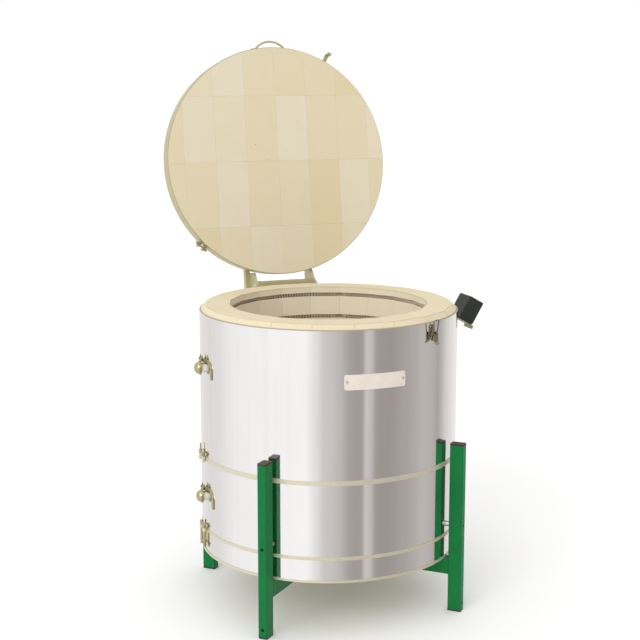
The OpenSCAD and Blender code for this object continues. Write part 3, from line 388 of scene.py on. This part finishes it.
def plated_steel(name, colour, dull, rough, metallic):
    """Plated fittings: cloudy passivation, fine scratches, dull patches and bright rubbed edges."""
    material, tree, bsdf = start_material(name)
    point = object_point(tree)
    bsdf.inputs["Metallic"].default_value = metallic
    rounded, edge = eased_edges(tree, 0.0008)
    patch = noise(tree, point, scale=55, detail=5, rough=0.65)
    fine = noise(tree, stretched(tree, point, (1, 1, 9)), scale=240, detail=2)
    body = blend_colour(tree, ranged(tree, patch, 0.3, 0.8, out_high=0.65), colour, dull)
    body = blend_colour(tree, ranged(tree, fine, 0.55, 0.8, out_high=0.35), body, dull)
    rubbed = [min(1.0, 1.2 * part) for part in colour]
    feed(tree, blend_colour(tree, times(tree, edge, 0.6), body, rubbed), bsdf, "Base Color")
    dulled = ranged(tree, patch, 0.3, 0.7, out_low=0.85 * rough, out_high=1.2 * rough)
    scratched = ranged(tree, fine, 0.3, 0.7, out_high=0.06)
    feed(tree, sums(tree, "ADD", dulled, scratched), bsdf, "Roughness")
    relief(tree, bsdf, fine, strength=0.05, depth=0.0004, under=rounded)
    return material


def leg_enamel(name):
    """Green enamel sprayed on tube: slight orange peel, small clouds and thin edges."""
    material, tree, bsdf = start_material(name)
    point = object_point(tree)
    rounded, edge = eased_edges(tree, 0.0015)
    cloud = ranged(tree, noise(tree, point, scale=9, detail=4, rough=0.6), 0.35, 0.7)
    body = blend_colour(tree, cloud, LEG_GREEN, LEG_GREEN_CLOUD)
    rubs = noise(tree, stretched(tree, point, (1, 1, 0.35)), scale=70, detail=5, rough=0.7)
    body = blend_colour(tree, ranged(tree, rubs, 0.66, 0.74, out_high=0.25), body, LEG_RUB)
    body = blend_colour(tree, times(tree, edge, 0.35), body, LEG_EDGE)
    feed(tree, body, bsdf, "Base Color")
    gloss = ranged(tree, noise(tree, point, scale=45), 0.3, 0.7, out_low=0.32, out_high=0.44)
    feed(tree, gloss, bsdf, "Roughness")
    bsdf.inputs["Specular IOR Level"].default_value = 0.16
    orange_peel = noise(tree, point, scale=330, detail=2)
    relief(tree, bsdf, orange_peel, strength=0.10, depth=0.0005, under=rounded)
    return material


def moulded(name, colour, lighter, rough, grain=420, depth=0.0004):
    """Moulded plastic with a spark-eroded grain and paler worn edges."""
    material, tree, bsdf = start_material(name)
    point = object_point(tree)
    rounded, edge = eased_edges(tree, 0.001)
    wear = ranged(tree, noise(tree, point, scale=28, detail=4, rough=0.6), 0.4, 0.75)
    body = blend_colour(tree, wear, colour, lighter)
    worn = [1.5 * part for part in lighter]
    feed(tree, blend_colour(tree, times(tree, edge, 0.5), body, worn), bsdf, "Base Color")
    sheen = noise(tree, point, scale=60)
    handled = ranged(tree, sheen, 0.3, 0.7, out_low=0.85 * rough, out_high=1.15 * rough)
    feed(tree, handled, bsdf, "Roughness")
    bsdf.inputs["Specular IOR Level"].default_value = 0.35
    eroded = noise(tree, point, scale=grain, detail=2)
    relief(tree, bsdf, eroded, strength=0.18, depth=depth, under=rounded)
    return material


def oxidised_wire(name):
    """Resistance wire after firing: a dull, pale scale with flecks."""
    material, tree, bsdf = start_material(name)
    point = object_point(tree)
    scale = noise(tree, point, scale=120, detail=4, rough=0.6)
    feed(tree, blend_colour(tree, ranged(tree, scale, 0.35, 0.7), WIRE_SCALE, WIRE_FLECK), bsdf, "Base Color")
    bsdf.inputs["Metallic"].default_value = 0.1
    feed(tree, ranged(tree, scale, 0.3, 0.7, out_low=0.5, out_high=0.75), bsdf, "Roughness")
    relief(tree, bsdf, noise(tree, point, scale=900, detail=2), strength=0.3, depth=0.0003)
    return material


def unglazed_ceramic(name):
    """White unglazed ceramic with buff flecks."""
    material, tree, bsdf = start_material(name)
    point = object_point(tree)
    fleck = noise(tree, point, scale=150, detail=4, rough=0.6)
    body = blend_colour(tree, ranged(tree, fleck, 0.45, 0.8), CERAMIC_WHITE, CERAMIC_FLECK)
    feed(tree, body, bsdf, "Base Color")
    bsdf.inputs["Roughness"].default_value = 0.6
    relief(tree, bsdf, fleck, strength=0.15, depth=0.0004)
    return material


def fibre_blanket(name):
    """Pressed ceramic fibre with a rigidised cream skin, laid in lengths that meet at short dark ticks
    on the slope, and a painted shadow line just above the jacket's edge."""
    material, tree, bsdf = start_material(name)
    point = object_point(tree)
    axes = split(tree, point)
    tuft = noise(tree, stretched(tree, point, (1, 1, 0.5)), scale=130, detail=5, rough=0.7)
    body = blend_colour(tree, ranged(tree, tuft, 0.4, 0.75), BLANKET_SKIN, BLANKET_TUFT)
    meeting = ranged(tree, upright_joint_gap(tree, axes), 0.0026, 0.0010)
    above_edge = ranged(tree, axes[2], JACKET_TOP + 0.004, JACKET_TOP + 0.006)
    on_slope = ranged(tree, wall_radius(tree, axes), BLANKET_SLOPE_R + 0.002, BLANKET_SLOPE_R)
    tick = times(tree, meeting, times(tree, above_edge, on_slope))
    body = blend_colour(tree, times(tree, tick, 0.8), body, BLANKET_TICK)
    # Painted shadow: a dark line in the gap just above the jacket's edge
    painted_shadow_line = ranged(tree, axes[2], JACKET_TOP + 0.0040, JACKET_TOP + 0.0015, out_high=0.8)
    feed(tree, blend_colour(tree, painted_shadow_line, body, BLANKET_PAINTED_SHADOW), bsdf, "Base Color")
    bsdf.inputs["Roughness"].default_value = 0.95
    bsdf.inputs["Specular IOR Level"].default_value = 0.2
    relief(tree, bsdf, tuft, strength=0.15, depth=0.0008)
    return material


def pale_plate(name):
    """Pale stoved plate with slight yellowing."""
    material, tree, bsdf = start_material(name)
    point = object_point(tree)
    age = noise(tree, point, scale=24, detail=4, rough=0.6)
    feed(tree, blend_colour(tree, ranged(tree, age, 0.35, 0.75), PLATE_PALE, PLATE_AGED), bsdf, "Base Color")
    feed(tree, ranged(tree, age, 0.3, 0.7, out_low=0.32, out_high=0.45), bsdf, "Roughness")
    relief(tree, bsdf, noise(tree, point, scale=300, detail=2), strength=0.08, depth=0.0004)
    return material


def dark_window(name):
    """Dark display window with a faint film under its gloss."""
    material, tree, bsdf = start_material(name)
    point = object_point(tree)
    film = noise(tree, point, scale=40)
    feed(tree, blend_colour(tree, ranged(tree, film, 0.3, 0.7), WINDOW_DARK, WINDOW_FILM), bsdf, "Base Color")
    feed(tree, ranged(tree, film, 0.3, 0.7, out_low=0.08, out_high=0.14), bsdf, "Roughness")
    bsdf.inputs["Coat Weight"].default_value = 0.5
    return material


# Finish of each slot
finishes = {
    "green_paint": leg_enamel("green_leg_enamel"),
    "brown_plastic": moulded("brown_tube_plug", (0.040, 0.024, 0.016), (0.066, 0.041, 0.028), rough=0.55),
    "black_plastic": moulded("black_moulding", (0.020, 0.025, 0.023), (0.034, 0.040, 0.037), rough=0.42),
    "zinc_steel": plated_steel("bright_zinc", (0.66, 0.65, 0.60), (0.50, 0.48, 0.43),
                               rough=0.30, metallic=0.8),
    "polished_steel": polished_sheet("polished_jacket_sheet", (0.87, 0.86, 0.855), rough=0.055, wave=0.07),
    "blanket": fibre_blanket("rim_fibre_blanket"),
    "olive_steel": plated_steel("olive_zinc", (0.55, 0.51, 0.305), (0.46, 0.42, 0.24),
                                rough=0.36, metallic=0.5),
    "element_wire": oxidised_wire("fired_element_wire"),
    "ceramic": unglazed_ceramic("ceramic_tube"),
    "control_grey": moulded("control_panel_grey", (0.050, 0.055, 0.058), (0.075, 0.080, 0.082), rough=0.38),
    "keypad_grey": moulded("keypad_membrane", (0.16, 0.17, 0.18), (0.22, 0.23, 0.24),
                           rough=0.5, grain=700, depth=0.0002),
    "display_black": dark_window("display_window"),
}

# Nodes whose finish differs from their slot's
# The wall bricks carry painted light on the hot face and painted shade in the grooves
wall_brick = firebrick("wall_firebrick", wall_cell, wall_joint_gap, tint_share=0.5, painted_light_and_shade=wall_painted_light_and_shade)
band_zinc = plated_steel("pale_band_zinc", (0.70, 0.65, 0.50), (0.60, 0.55, 0.40),
                         rough=0.30, metallic=0.5)
fitting_zinc = plated_steel("bright_olive_fitting", (0.52, 0.47, 0.27), (0.36, 0.32, 0.17),
                            rough=0.24, metallic=0.95)
# Darker copy of the olive plating for the latch: painted shade
latch_zinc = plated_steel("latch_steel_painted_shade", (0.32, 0.28, 0.17), (0.17, 0.145, 0.085),
                          rough=0.26, metallic=0.95)
# Near-black pins: painted shade for the dark knuckles of the hinges
dark_steel = plated_steel("dark_pin_steel", (0.10, 0.095, 0.08), (0.05, 0.045, 0.04),
                          rough=0.35, metallic=0.9)
node_finishes = {
    "lid_bricks": firebrick("lid_firebrick", lid_cell, lid_joint_gap, tint_share=1.0),
    "floor_bricks": firebrick("floor_firebrick", slab_cell, slab_joint_gap, tint_share=0.6),
    "wall_course_lower": wall_brick,
    "wall_course_middle": wall_brick,
    "wall_course_upper": wall_brick,
    "upper_band": band_zinc,
    "lower_band": band_zinc,
    "base_plate": band_zinc,
    "upper_band_clamp": fitting_zinc,
    "lower_band_clamp": fitting_zinc,
    "lid_band_clamp": fitting_zinc,
    "peephole_bases": fitting_zinc,
    "peephole_flap_upper": fitting_zinc,
    "peephole_flap_lower": fitting_zinc,
    "peephole_pins": dark_steel,
    "latch_base": latch_zinc,
    "latch_lever": latch_zinc,
    "latch_bail": latch_zinc,
    "latch_pin": dark_steel,
}
for part in frame["record"]["subparts"]:
    shown = frame["nodes"][part["node"]]
    shown.data.materials.clear()
    shown.data.materials.append(node_finishes.get(part["node"]) or finishes[part["material_slot"]])


# Pieces made here
def finish_piece(name, mesh, slot, finish=None, smooth=True):
    """Puts a bmesh into the scene as a piece that rides on the kiln's fixed body."""
    data = bpy.data.meshes.new(name)
    mesh.to_mesh(data)
    mesh.free()
    data.materials.append(finish or finishes[slot])
    data.polygons.foreach_set("use_smooth", [smooth] * len(data.polygons))
    piece = bpy.data.objects.new(name, data)
    bpy.context.scene.collection.objects.link(piece)
    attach(piece, "kiln")
    return piece


def row_heights():
    """Heights of the element rows: two in the top course and three in each course below it."""
    heights = [TOP_ROW_Z - row * GROOVE_PITCH for row in range(2)]
    for course_top in (WALL_Z + 2 * COURSE_H, WALL_Z + COURSE_H):
        heights += [course_top - GROOVE_DEEP - row * GROOVE_PITCH for row in range(3)]
    return heights


def element_coil(name, z):
    """A curl spun from a ring of wire and repeated round the groove, with a straight lead at each end."""
    mesh = bmesh.new()
    tangent = Vector((0, 1, 0))
    middle = Vector((ELEMENT_R, 0, z))
    span = 2 * math.pi - 2 * LEAD_HALF
    curls = round(span * ELEMENT_R / CURL_PITCH)
    pitch = span * ELEMENT_R / curls
    bmesh.ops.create_circle(mesh, segments=WIRE_SIDES, radius=WIRE_R)
    bmesh.ops.translate(mesh, verts=mesh.verts, vec=middle + Vector((CURL_R, 0, 0)))
    bmesh.ops.spin(mesh, geom=mesh.verts[:] + mesh.edges[:], cent=middle, axis=tangent,
                   dvec=tangent * (pitch / CURL_STEPS), angle=2 * math.pi, steps=CURL_STEPS)
    bmesh.ops.rotate(mesh, verts=mesh.verts, cent=(0, 0, 0),
                     matrix=Matrix.Rotation(LEAD_ANGLE + LEAD_HALF, 3, "Z"))
    bmesh.ops.spin(mesh, geom=mesh.verts[:] + mesh.edges[:] + mesh.faces[:], cent=(0, 0, 0), axis=(0, 0, 1),
                   angle=span * (curls - 1) / curls, steps=curls - 1, use_duplicate=True)
    bmesh.ops.remove_doubles(mesh, verts=mesh.verts, dist=CURL_WELD)
    bmesh.ops.holes_fill(mesh, edges=[edge for edge in mesh.edges if edge.is_boundary], sides=0)
    length = LEAD_END - ELEMENT_R
    for side in (-1, 1):
        turn = Matrix.Rotation(LEAD_ANGLE + side * LEAD_HALF, 4, "Z") @ Matrix.Rotation(math.pi / 2, 4, "Y")
        place = Matrix.Translation((0, 0, z)) @ turn @ Matrix.Translation((0, 0, ELEMENT_R + length / 2))
        bmesh.ops.create_cone(mesh, cap_ends=True, segments=LEAD_SIDES, radius1=WIRE_R, radius2=WIRE_R,
                              depth=length, matrix=place)
    bmesh.ops.recalc_face_normals(mesh, faces=mesh.faces)
    return finish_piece(name, mesh, "element_wire")


for number, height in enumerate(row_heights()):
    coil = element_coil("element_coil_%d" % (number + 1), height)
    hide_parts("heating_element_top" if number == 0 else "heating_elements_lower")

# Screw heads and rivets as shares of their radius: SOCKET_STEPS are the inset and rise of each ring
# from the rim to the socket's floor
HEAD_HEIGHT, HEAD_TOP = 0.7, 0.85
SOCKET_STEPS = ((0.12, 0.10), (0.30, 0.0), (0.05, -0.40))
HEAD_SIDES = 18
RIVET_RISE = 0.4
RIVET_SIDES, RIVET_RINGS = 12, 6


def facing_frame(place, facing, lift):
    """Frame at a place with its Z along a direction, lifted along it."""
    turn = Vector((0, 0, 1)).rotation_difference(facing).to_matrix().to_4x4()
    return Matrix.Translation(Vector(place) + facing * lift) @ turn


def socket_screw(mesh, place, facing, radius):
    """Pan head with a rounded rim and a round driver socket, its underside on a face."""
    height = HEAD_HEIGHT * radius
    head = bmesh.ops.create_cone(mesh, cap_ends=True, segments=HEAD_SIDES, radius1=radius,
                                 radius2=HEAD_TOP * radius, depth=height,
                                 matrix=facing_frame(place, facing, height / 2))
    faces = {face for vert in head["verts"] for face in vert.link_faces}
    top = max(faces, key=lambda face: face.calc_center_median().dot(facing))
    for inset, rise in SOCKET_STEPS:
        bmesh.ops.inset_individual(mesh, faces=[top], thickness=inset * radius, depth=rise * radius)


def dome_rivet(mesh, place, facing, radius):
    flat = Matrix.Diagonal((1, 1, RIVET_RISE, 1))
    bmesh.ops.create_uvsphere(mesh, u_segments=RIVET_SIDES, v_segments=RIVET_RINGS, radius=radius,
                              matrix=facing_frame(place, facing, 0) @ flat)


def bent_sheet(name, angle, half_w, heights, thick, slot, steps=SHEET_STEPS, corner_r=0.0, finish=None):
    """Strip of sheet bent round the jacket by a spin, centred on an angle, with rounded corners if asked."""
    mesh = bmesh.new()
    half_turn = half_w / JACKET_R
    ends = [mesh.verts.new(on_shell(angle - half_turn, JACKET_R + SHEET_GAP, z)) for z in heights]
    side = mesh.edges.new(ends)
    bmesh.ops.spin(mesh, geom=ends + [side], cent=(0, 0, 0), axis=(0, 0, 1), angle=2 * half_turn, steps=steps)
    if corner_r:
        corners = [vert for vert in mesh.verts if len(vert.link_edges) == 2]
        bmesh.ops.bevel(mesh, geom=corners, offset=corner_r, offset_type="OFFSET", segments=CORNER_STEPS,
                        profile=0.5, affect="VERTICES", material=-1)
    bmesh.ops.recalc_face_normals(mesh, faces=mesh.faces)
    if mesh.faces[:][0].normal.dot(outward(angle)) < 0:
        bmesh.ops.reverse_faces(mesh, faces=mesh.faces)
    sheet = finish_piece(name, mesh, slot, finish, smooth=False)
    wall = sheet.modifiers.new("sheet", "SOLIDIFY")
    wall.thickness = thick
    wall.offset = 1.0
    return sheet


screws = bmesh.new()

# Bare plate on the front of the jacket, held by two screws
PLATE_Z, PLATE_HALF_H, PLATE_T = 0.807, 0.0235, 0.0012
PLATE_HALF_TURN = 13.6
PLATE_HALF_W = math.radians(PLATE_HALF_TURN) * JACKET_R
PLATE_CORNER_R, PLATE_STEPS = 0.006, 24
PLATE_SCREW_TURN, PLATE_SCREW_RISE, PLATE_SCREW_R = 12.4, 0.002, 0.0036
bent_sheet("bare_front_plate", from_front(0), PLATE_HALF_W, (PLATE_Z - PLATE_HALF_H, PLATE_Z + PLATE_HALF_H),
           PLATE_T, "zinc_steel", PLATE_STEPS, PLATE_CORNER_R, pale_plate("pale_front_plate"))
for turn in (-PLATE_SCREW_TURN, PLATE_SCREW_TURN):
    plate_end = from_front(turn)
    place = on_shell(plate_end, JACKET_R + PLATE_T, PLATE_Z + PLATE_SCREW_RISE)
    socket_screw(screws, place, outward(plate_end), PLATE_SCREW_R)

# Lap seam of the jacket at the back, riveted clear of the bands
SEAM_ANGLE = math.radians(118)
SEAM_HALF_W, SEAM_T, SEAM_END_GAP = 0.012, 0.00025, 0.001
RIVETS, FIRST_RIVET, RIVET_PITCH, RIVET_R = 13, 0.022, 0.0613, 0.0028
RIVET_BAND_GAP = 0.014
bent_sheet("jacket_lap_seam", SEAM_ANGLE, SEAM_HALF_W,
           (BASE_EDGE_TOP + SEAM_END_GAP, JACKET_TOP - SEAM_END_GAP), SEAM_T, "polished_steel")
rivets = bmesh.new()
for step in range(RIVETS):
    rivet_z = BASE_EDGE_TOP + FIRST_RIVET + RIVET_PITCH * step
    if min(abs(rivet_z - UPPER_BAND_Z), abs(rivet_z - LOWER_BAND_Z)) > RIVET_BAND_GAP:
        dome_rivet(rivets, on_shell(SEAM_ANGLE, JACKET_R + SEAM_T, rivet_z), outward(SEAM_ANGLE), RIVET_R)
finish_piece("jacket_seam_rivets", rivets, "polished_steel")

# Flanges that hold the terminal cover to the jacket, stopping short of the upper band
FLANGE_W, FLANGE_T, FLANGE_BAND_GAP = 0.014, 0.0011, 0.0105
FLANGE_SCREW_R, FLANGE_SCREW_SHARES = 0.0032, (0.12, 0.5, 0.88)
flange_spans = ((COVER_LOW, UPPER_BAND_Z - FLANGE_BAND_GAP), (UPPER_BAND_Z + FLANGE_BAND_GAP, COVER_HIGH))
for hand, side in (("right", -1), ("left", 1)):
    flange_angle = LEAD_ANGLE + side * (COVER_HALF + FLANGE_W / 2 / JACKET_R)
    for number, (low, high) in enumerate(flange_spans):
        flange_name = "cover_flange_%s_%d" % (hand, number + 1)
        bent_sheet(flange_name, flange_angle, FLANGE_W / 2, (low, high), FLANGE_T, "polished_steel")
        for share in FLANGE_SCREW_SHARES:
            place = on_shell(flange_angle, JACKET_R + FLANGE_T, low + share * (high - low))
            socket_screw(screws, place, outward(flange_angle), FLANGE_SCREW_R)

# Screws of the peephole straps
STRAP_SCREW_DROPS, STRAP_SCREW_R = (0.004, 0.022), 0.0032
tail_angle = from_front(-90) + math.asin(STRAP_TAIL / JACKET_R)
for pin in FLAP_PINS:
    for drop in STRAP_SCREW_DROPS:
        place = on_shell(tail_angle, STRAP_R, pin.z - FLAP_PIN_RISE - drop)
        socket_screw(screws, place, outward(tail_angle), STRAP_SCREW_R)

# Screws of the latch plate
LATCH_SCREW_SIDE, LATCH_SCREW_DROPS, LATCH_SCREW_R = 0.0088, (0.046, 0.0105), 0.0022
latch_angle = math.atan2(LATCH.y, LATCH.x)
latch_side = outward(latch_angle + math.pi / 2)
for across in (-LATCH_SCREW_SIDE, LATCH_SCREW_SIDE):
    for drop in LATCH_SCREW_DROPS:
        place = on_shell(latch_angle, LATCH_PLATE_R, JACKET_TOP - drop) + latch_side * across
        socket_screw(screws, place, outward(latch_angle), LATCH_SCREW_R)

# Screws of the control unit's face
CONTROL_SCREW_DOWN, CONTROL_SCREW_ALONG, CONTROL_SCREW_R = 0.0205, 0.0325, 0.002
control_frame = Matrix.Translation(CONTROL_AT) @ Matrix.Rotation(CONTROL_TILT, 4, "Y")
control_up = (control_frame.to_3x3() @ Vector((0, 0, 1))).normalized()
for down in (-CONTROL_SCREW_DOWN, CONTROL_SCREW_DOWN):
    for along in (-CONTROL_SCREW_ALONG, CONTROL_SCREW_ALONG):
        place = control_frame @ Vector((down, along, CONTROL_FACE))
        socket_screw(screws, place, control_up, CONTROL_SCREW_R)
finish_piece("small_screws", screws, "zinc_steel", smooth=False)

# Pale floor
FLOOR_HALF_W = 40
FLOOR_TONE = 0.95
floor_mesh = bmesh.new()
bmesh.ops.create_grid(floor_mesh, x_segments=1, y_segments=1, size=FLOOR_HALF_W)
floor_data = bpy.data.meshes.new("studio_floor")
floor_mesh.to_mesh(floor_data)
floor_mesh.free()
floor_skin, _, floor_bsdf = start_material("pale_floor")
floor_bsdf.inputs["Base Color"].default_value = (FLOOR_TONE, FLOOR_TONE, FLOOR_TONE, 1)
floor_bsdf.inputs["Roughness"].default_value = 0.9
floor_bsdf.inputs["Specular IOR Level"].default_value = 0.0
floor_data.materials.append(floor_skin)
floor = bpy.data.objects.new("studio_floor", floor_data)
bpy.context.scene.collection.objects.link(floor)
floor.visible_glossy = False

# Brightness round the studio, by degrees to the right of the camera as seen from the kiln
STUDIO_TONES = (
    (-180, 0.88), (-150, 0.85), (-130, 0.83), (-115, 0.86), (-92, 0.99), (-70, 1.03), (-40, 1.06),
    (-20, 1.08), (-12, 0.91), (-4, 0.72), (10, 0.60), (18, 0.45), (26, 0.41), (30, 0.43), (33, 0.70),
    (38, 0.60), (42, 0.42), (48, 0.385), (56, 0.385), (72, 0.455), (82, 0.505), (91, 0.57), (102, 0.55),
    (114, 0.46), (129, 0.75), (150, 0.90), (180, 0.88))
TOP_TONE = 1.15
TOP_BLEND = (0.30, 0.75)
CAMERA_AT = Vector((-1.5354, -4.2003, 1.7395))
CAMERA_BEARING = math.atan2(CAMERA_AT.y, CAMERA_AT.x)


def warm_grey(tone):
    """Grey that warms a little as it darkens."""
    clear = min(tone, 1.0)
    return (tone, tone * (0.87 + 0.13 * clear), tone * (0.80 + 0.20 * clear), 1)


# Light all round, brighter overhead and plain white behind the kiln
world = bpy.data.worlds.new("soft_studio")
bpy.context.scene.world = world
world.use_nodes = True
studio = world.node_tree
ray = put(studio, "ShaderNodeMapping", {
    "Vector": studio.nodes.new("ShaderNodeTexCoord").outputs["Generated"],
    "Rotation": (0, 0, -CAMERA_BEARING)}).outputs[0]
ray_axes = split(studio, ray)
bearing = sums(studio, "ARCTAN2", ray_axes[1], ray_axes[0])
tones = put(studio, "ShaderNodeValToRGB", {0: ranged(studio, bearing, -math.pi, math.pi)})
stops = tones.color_ramp.elements
stops[0].position = 0.0
stops[0].color = warm_grey(STUDIO_TONES[0][1])
stops[1].position = 1.0
stops[1].color = warm_grey(STUDIO_TONES[-1][1])
for degrees, tone in STUDIO_TONES[1:-1]:
    stops.new((degrees + 180) / 360).color = warm_grey(tone)
overhead = ranged(studio, ray_axes[2], *TOP_BLEND)
around_kiln = blend_colour(studio, overhead, tones.outputs[0], [TOP_TONE] * 3)
seen = studio.nodes.new("ShaderNodeLightPath").outputs["Is Camera Ray"]
background = studio.nodes["Background"]
studio.links.new(blend_colour(studio, seen, around_kiln, (1, 1, 1)), background.inputs[0])

# Soft key from the front left
KEY_FROM, KEY_AIM = Vector((-3.6, -3.2, 3.3)), Vector((0, 0, 0.8))
KEY_STRENGTH, KEY_SPREAD = 0.85, math.radians(35)
key_data = bpy.data.lights.new("soft_key", "SUN")
key_data.energy = KEY_STRENGTH
key_data.angle = KEY_SPREAD
key = bpy.data.objects.new("soft_key", key_data)
bpy.context.scene.collection.objects.link(key)
key.location = KEY_FROM
key.rotation_euler = (KEY_AIM - KEY_FROM).to_track_quat("-Z", "Y").to_euler()

# Camera at the photograph's view
CAMERA_LENS, CAMERA_SENSOR, CAMERA_FAR = 78.21, 36, 200
CAMERA_TILT, CAMERA_TURN = math.radians(79.634), math.radians(-19.73)
camera_data = bpy.data.cameras.new("photo_camera")
camera_data.lens = CAMERA_LENS
camera_data.sensor_width = CAMERA_SENSOR
camera_data.clip_end = CAMERA_FAR
camera = bpy.data.objects.new("photo_camera", camera_data)
bpy.context.scene.collection.objects.link(camera)
camera.location = CAMERA_AT
camera.rotation_euler = (CAMERA_TILT, 0, CAMERA_TURN)
bpy.context.scene.camera = camera
bpy.context.scene.view_settings.view_transform = "Standard"
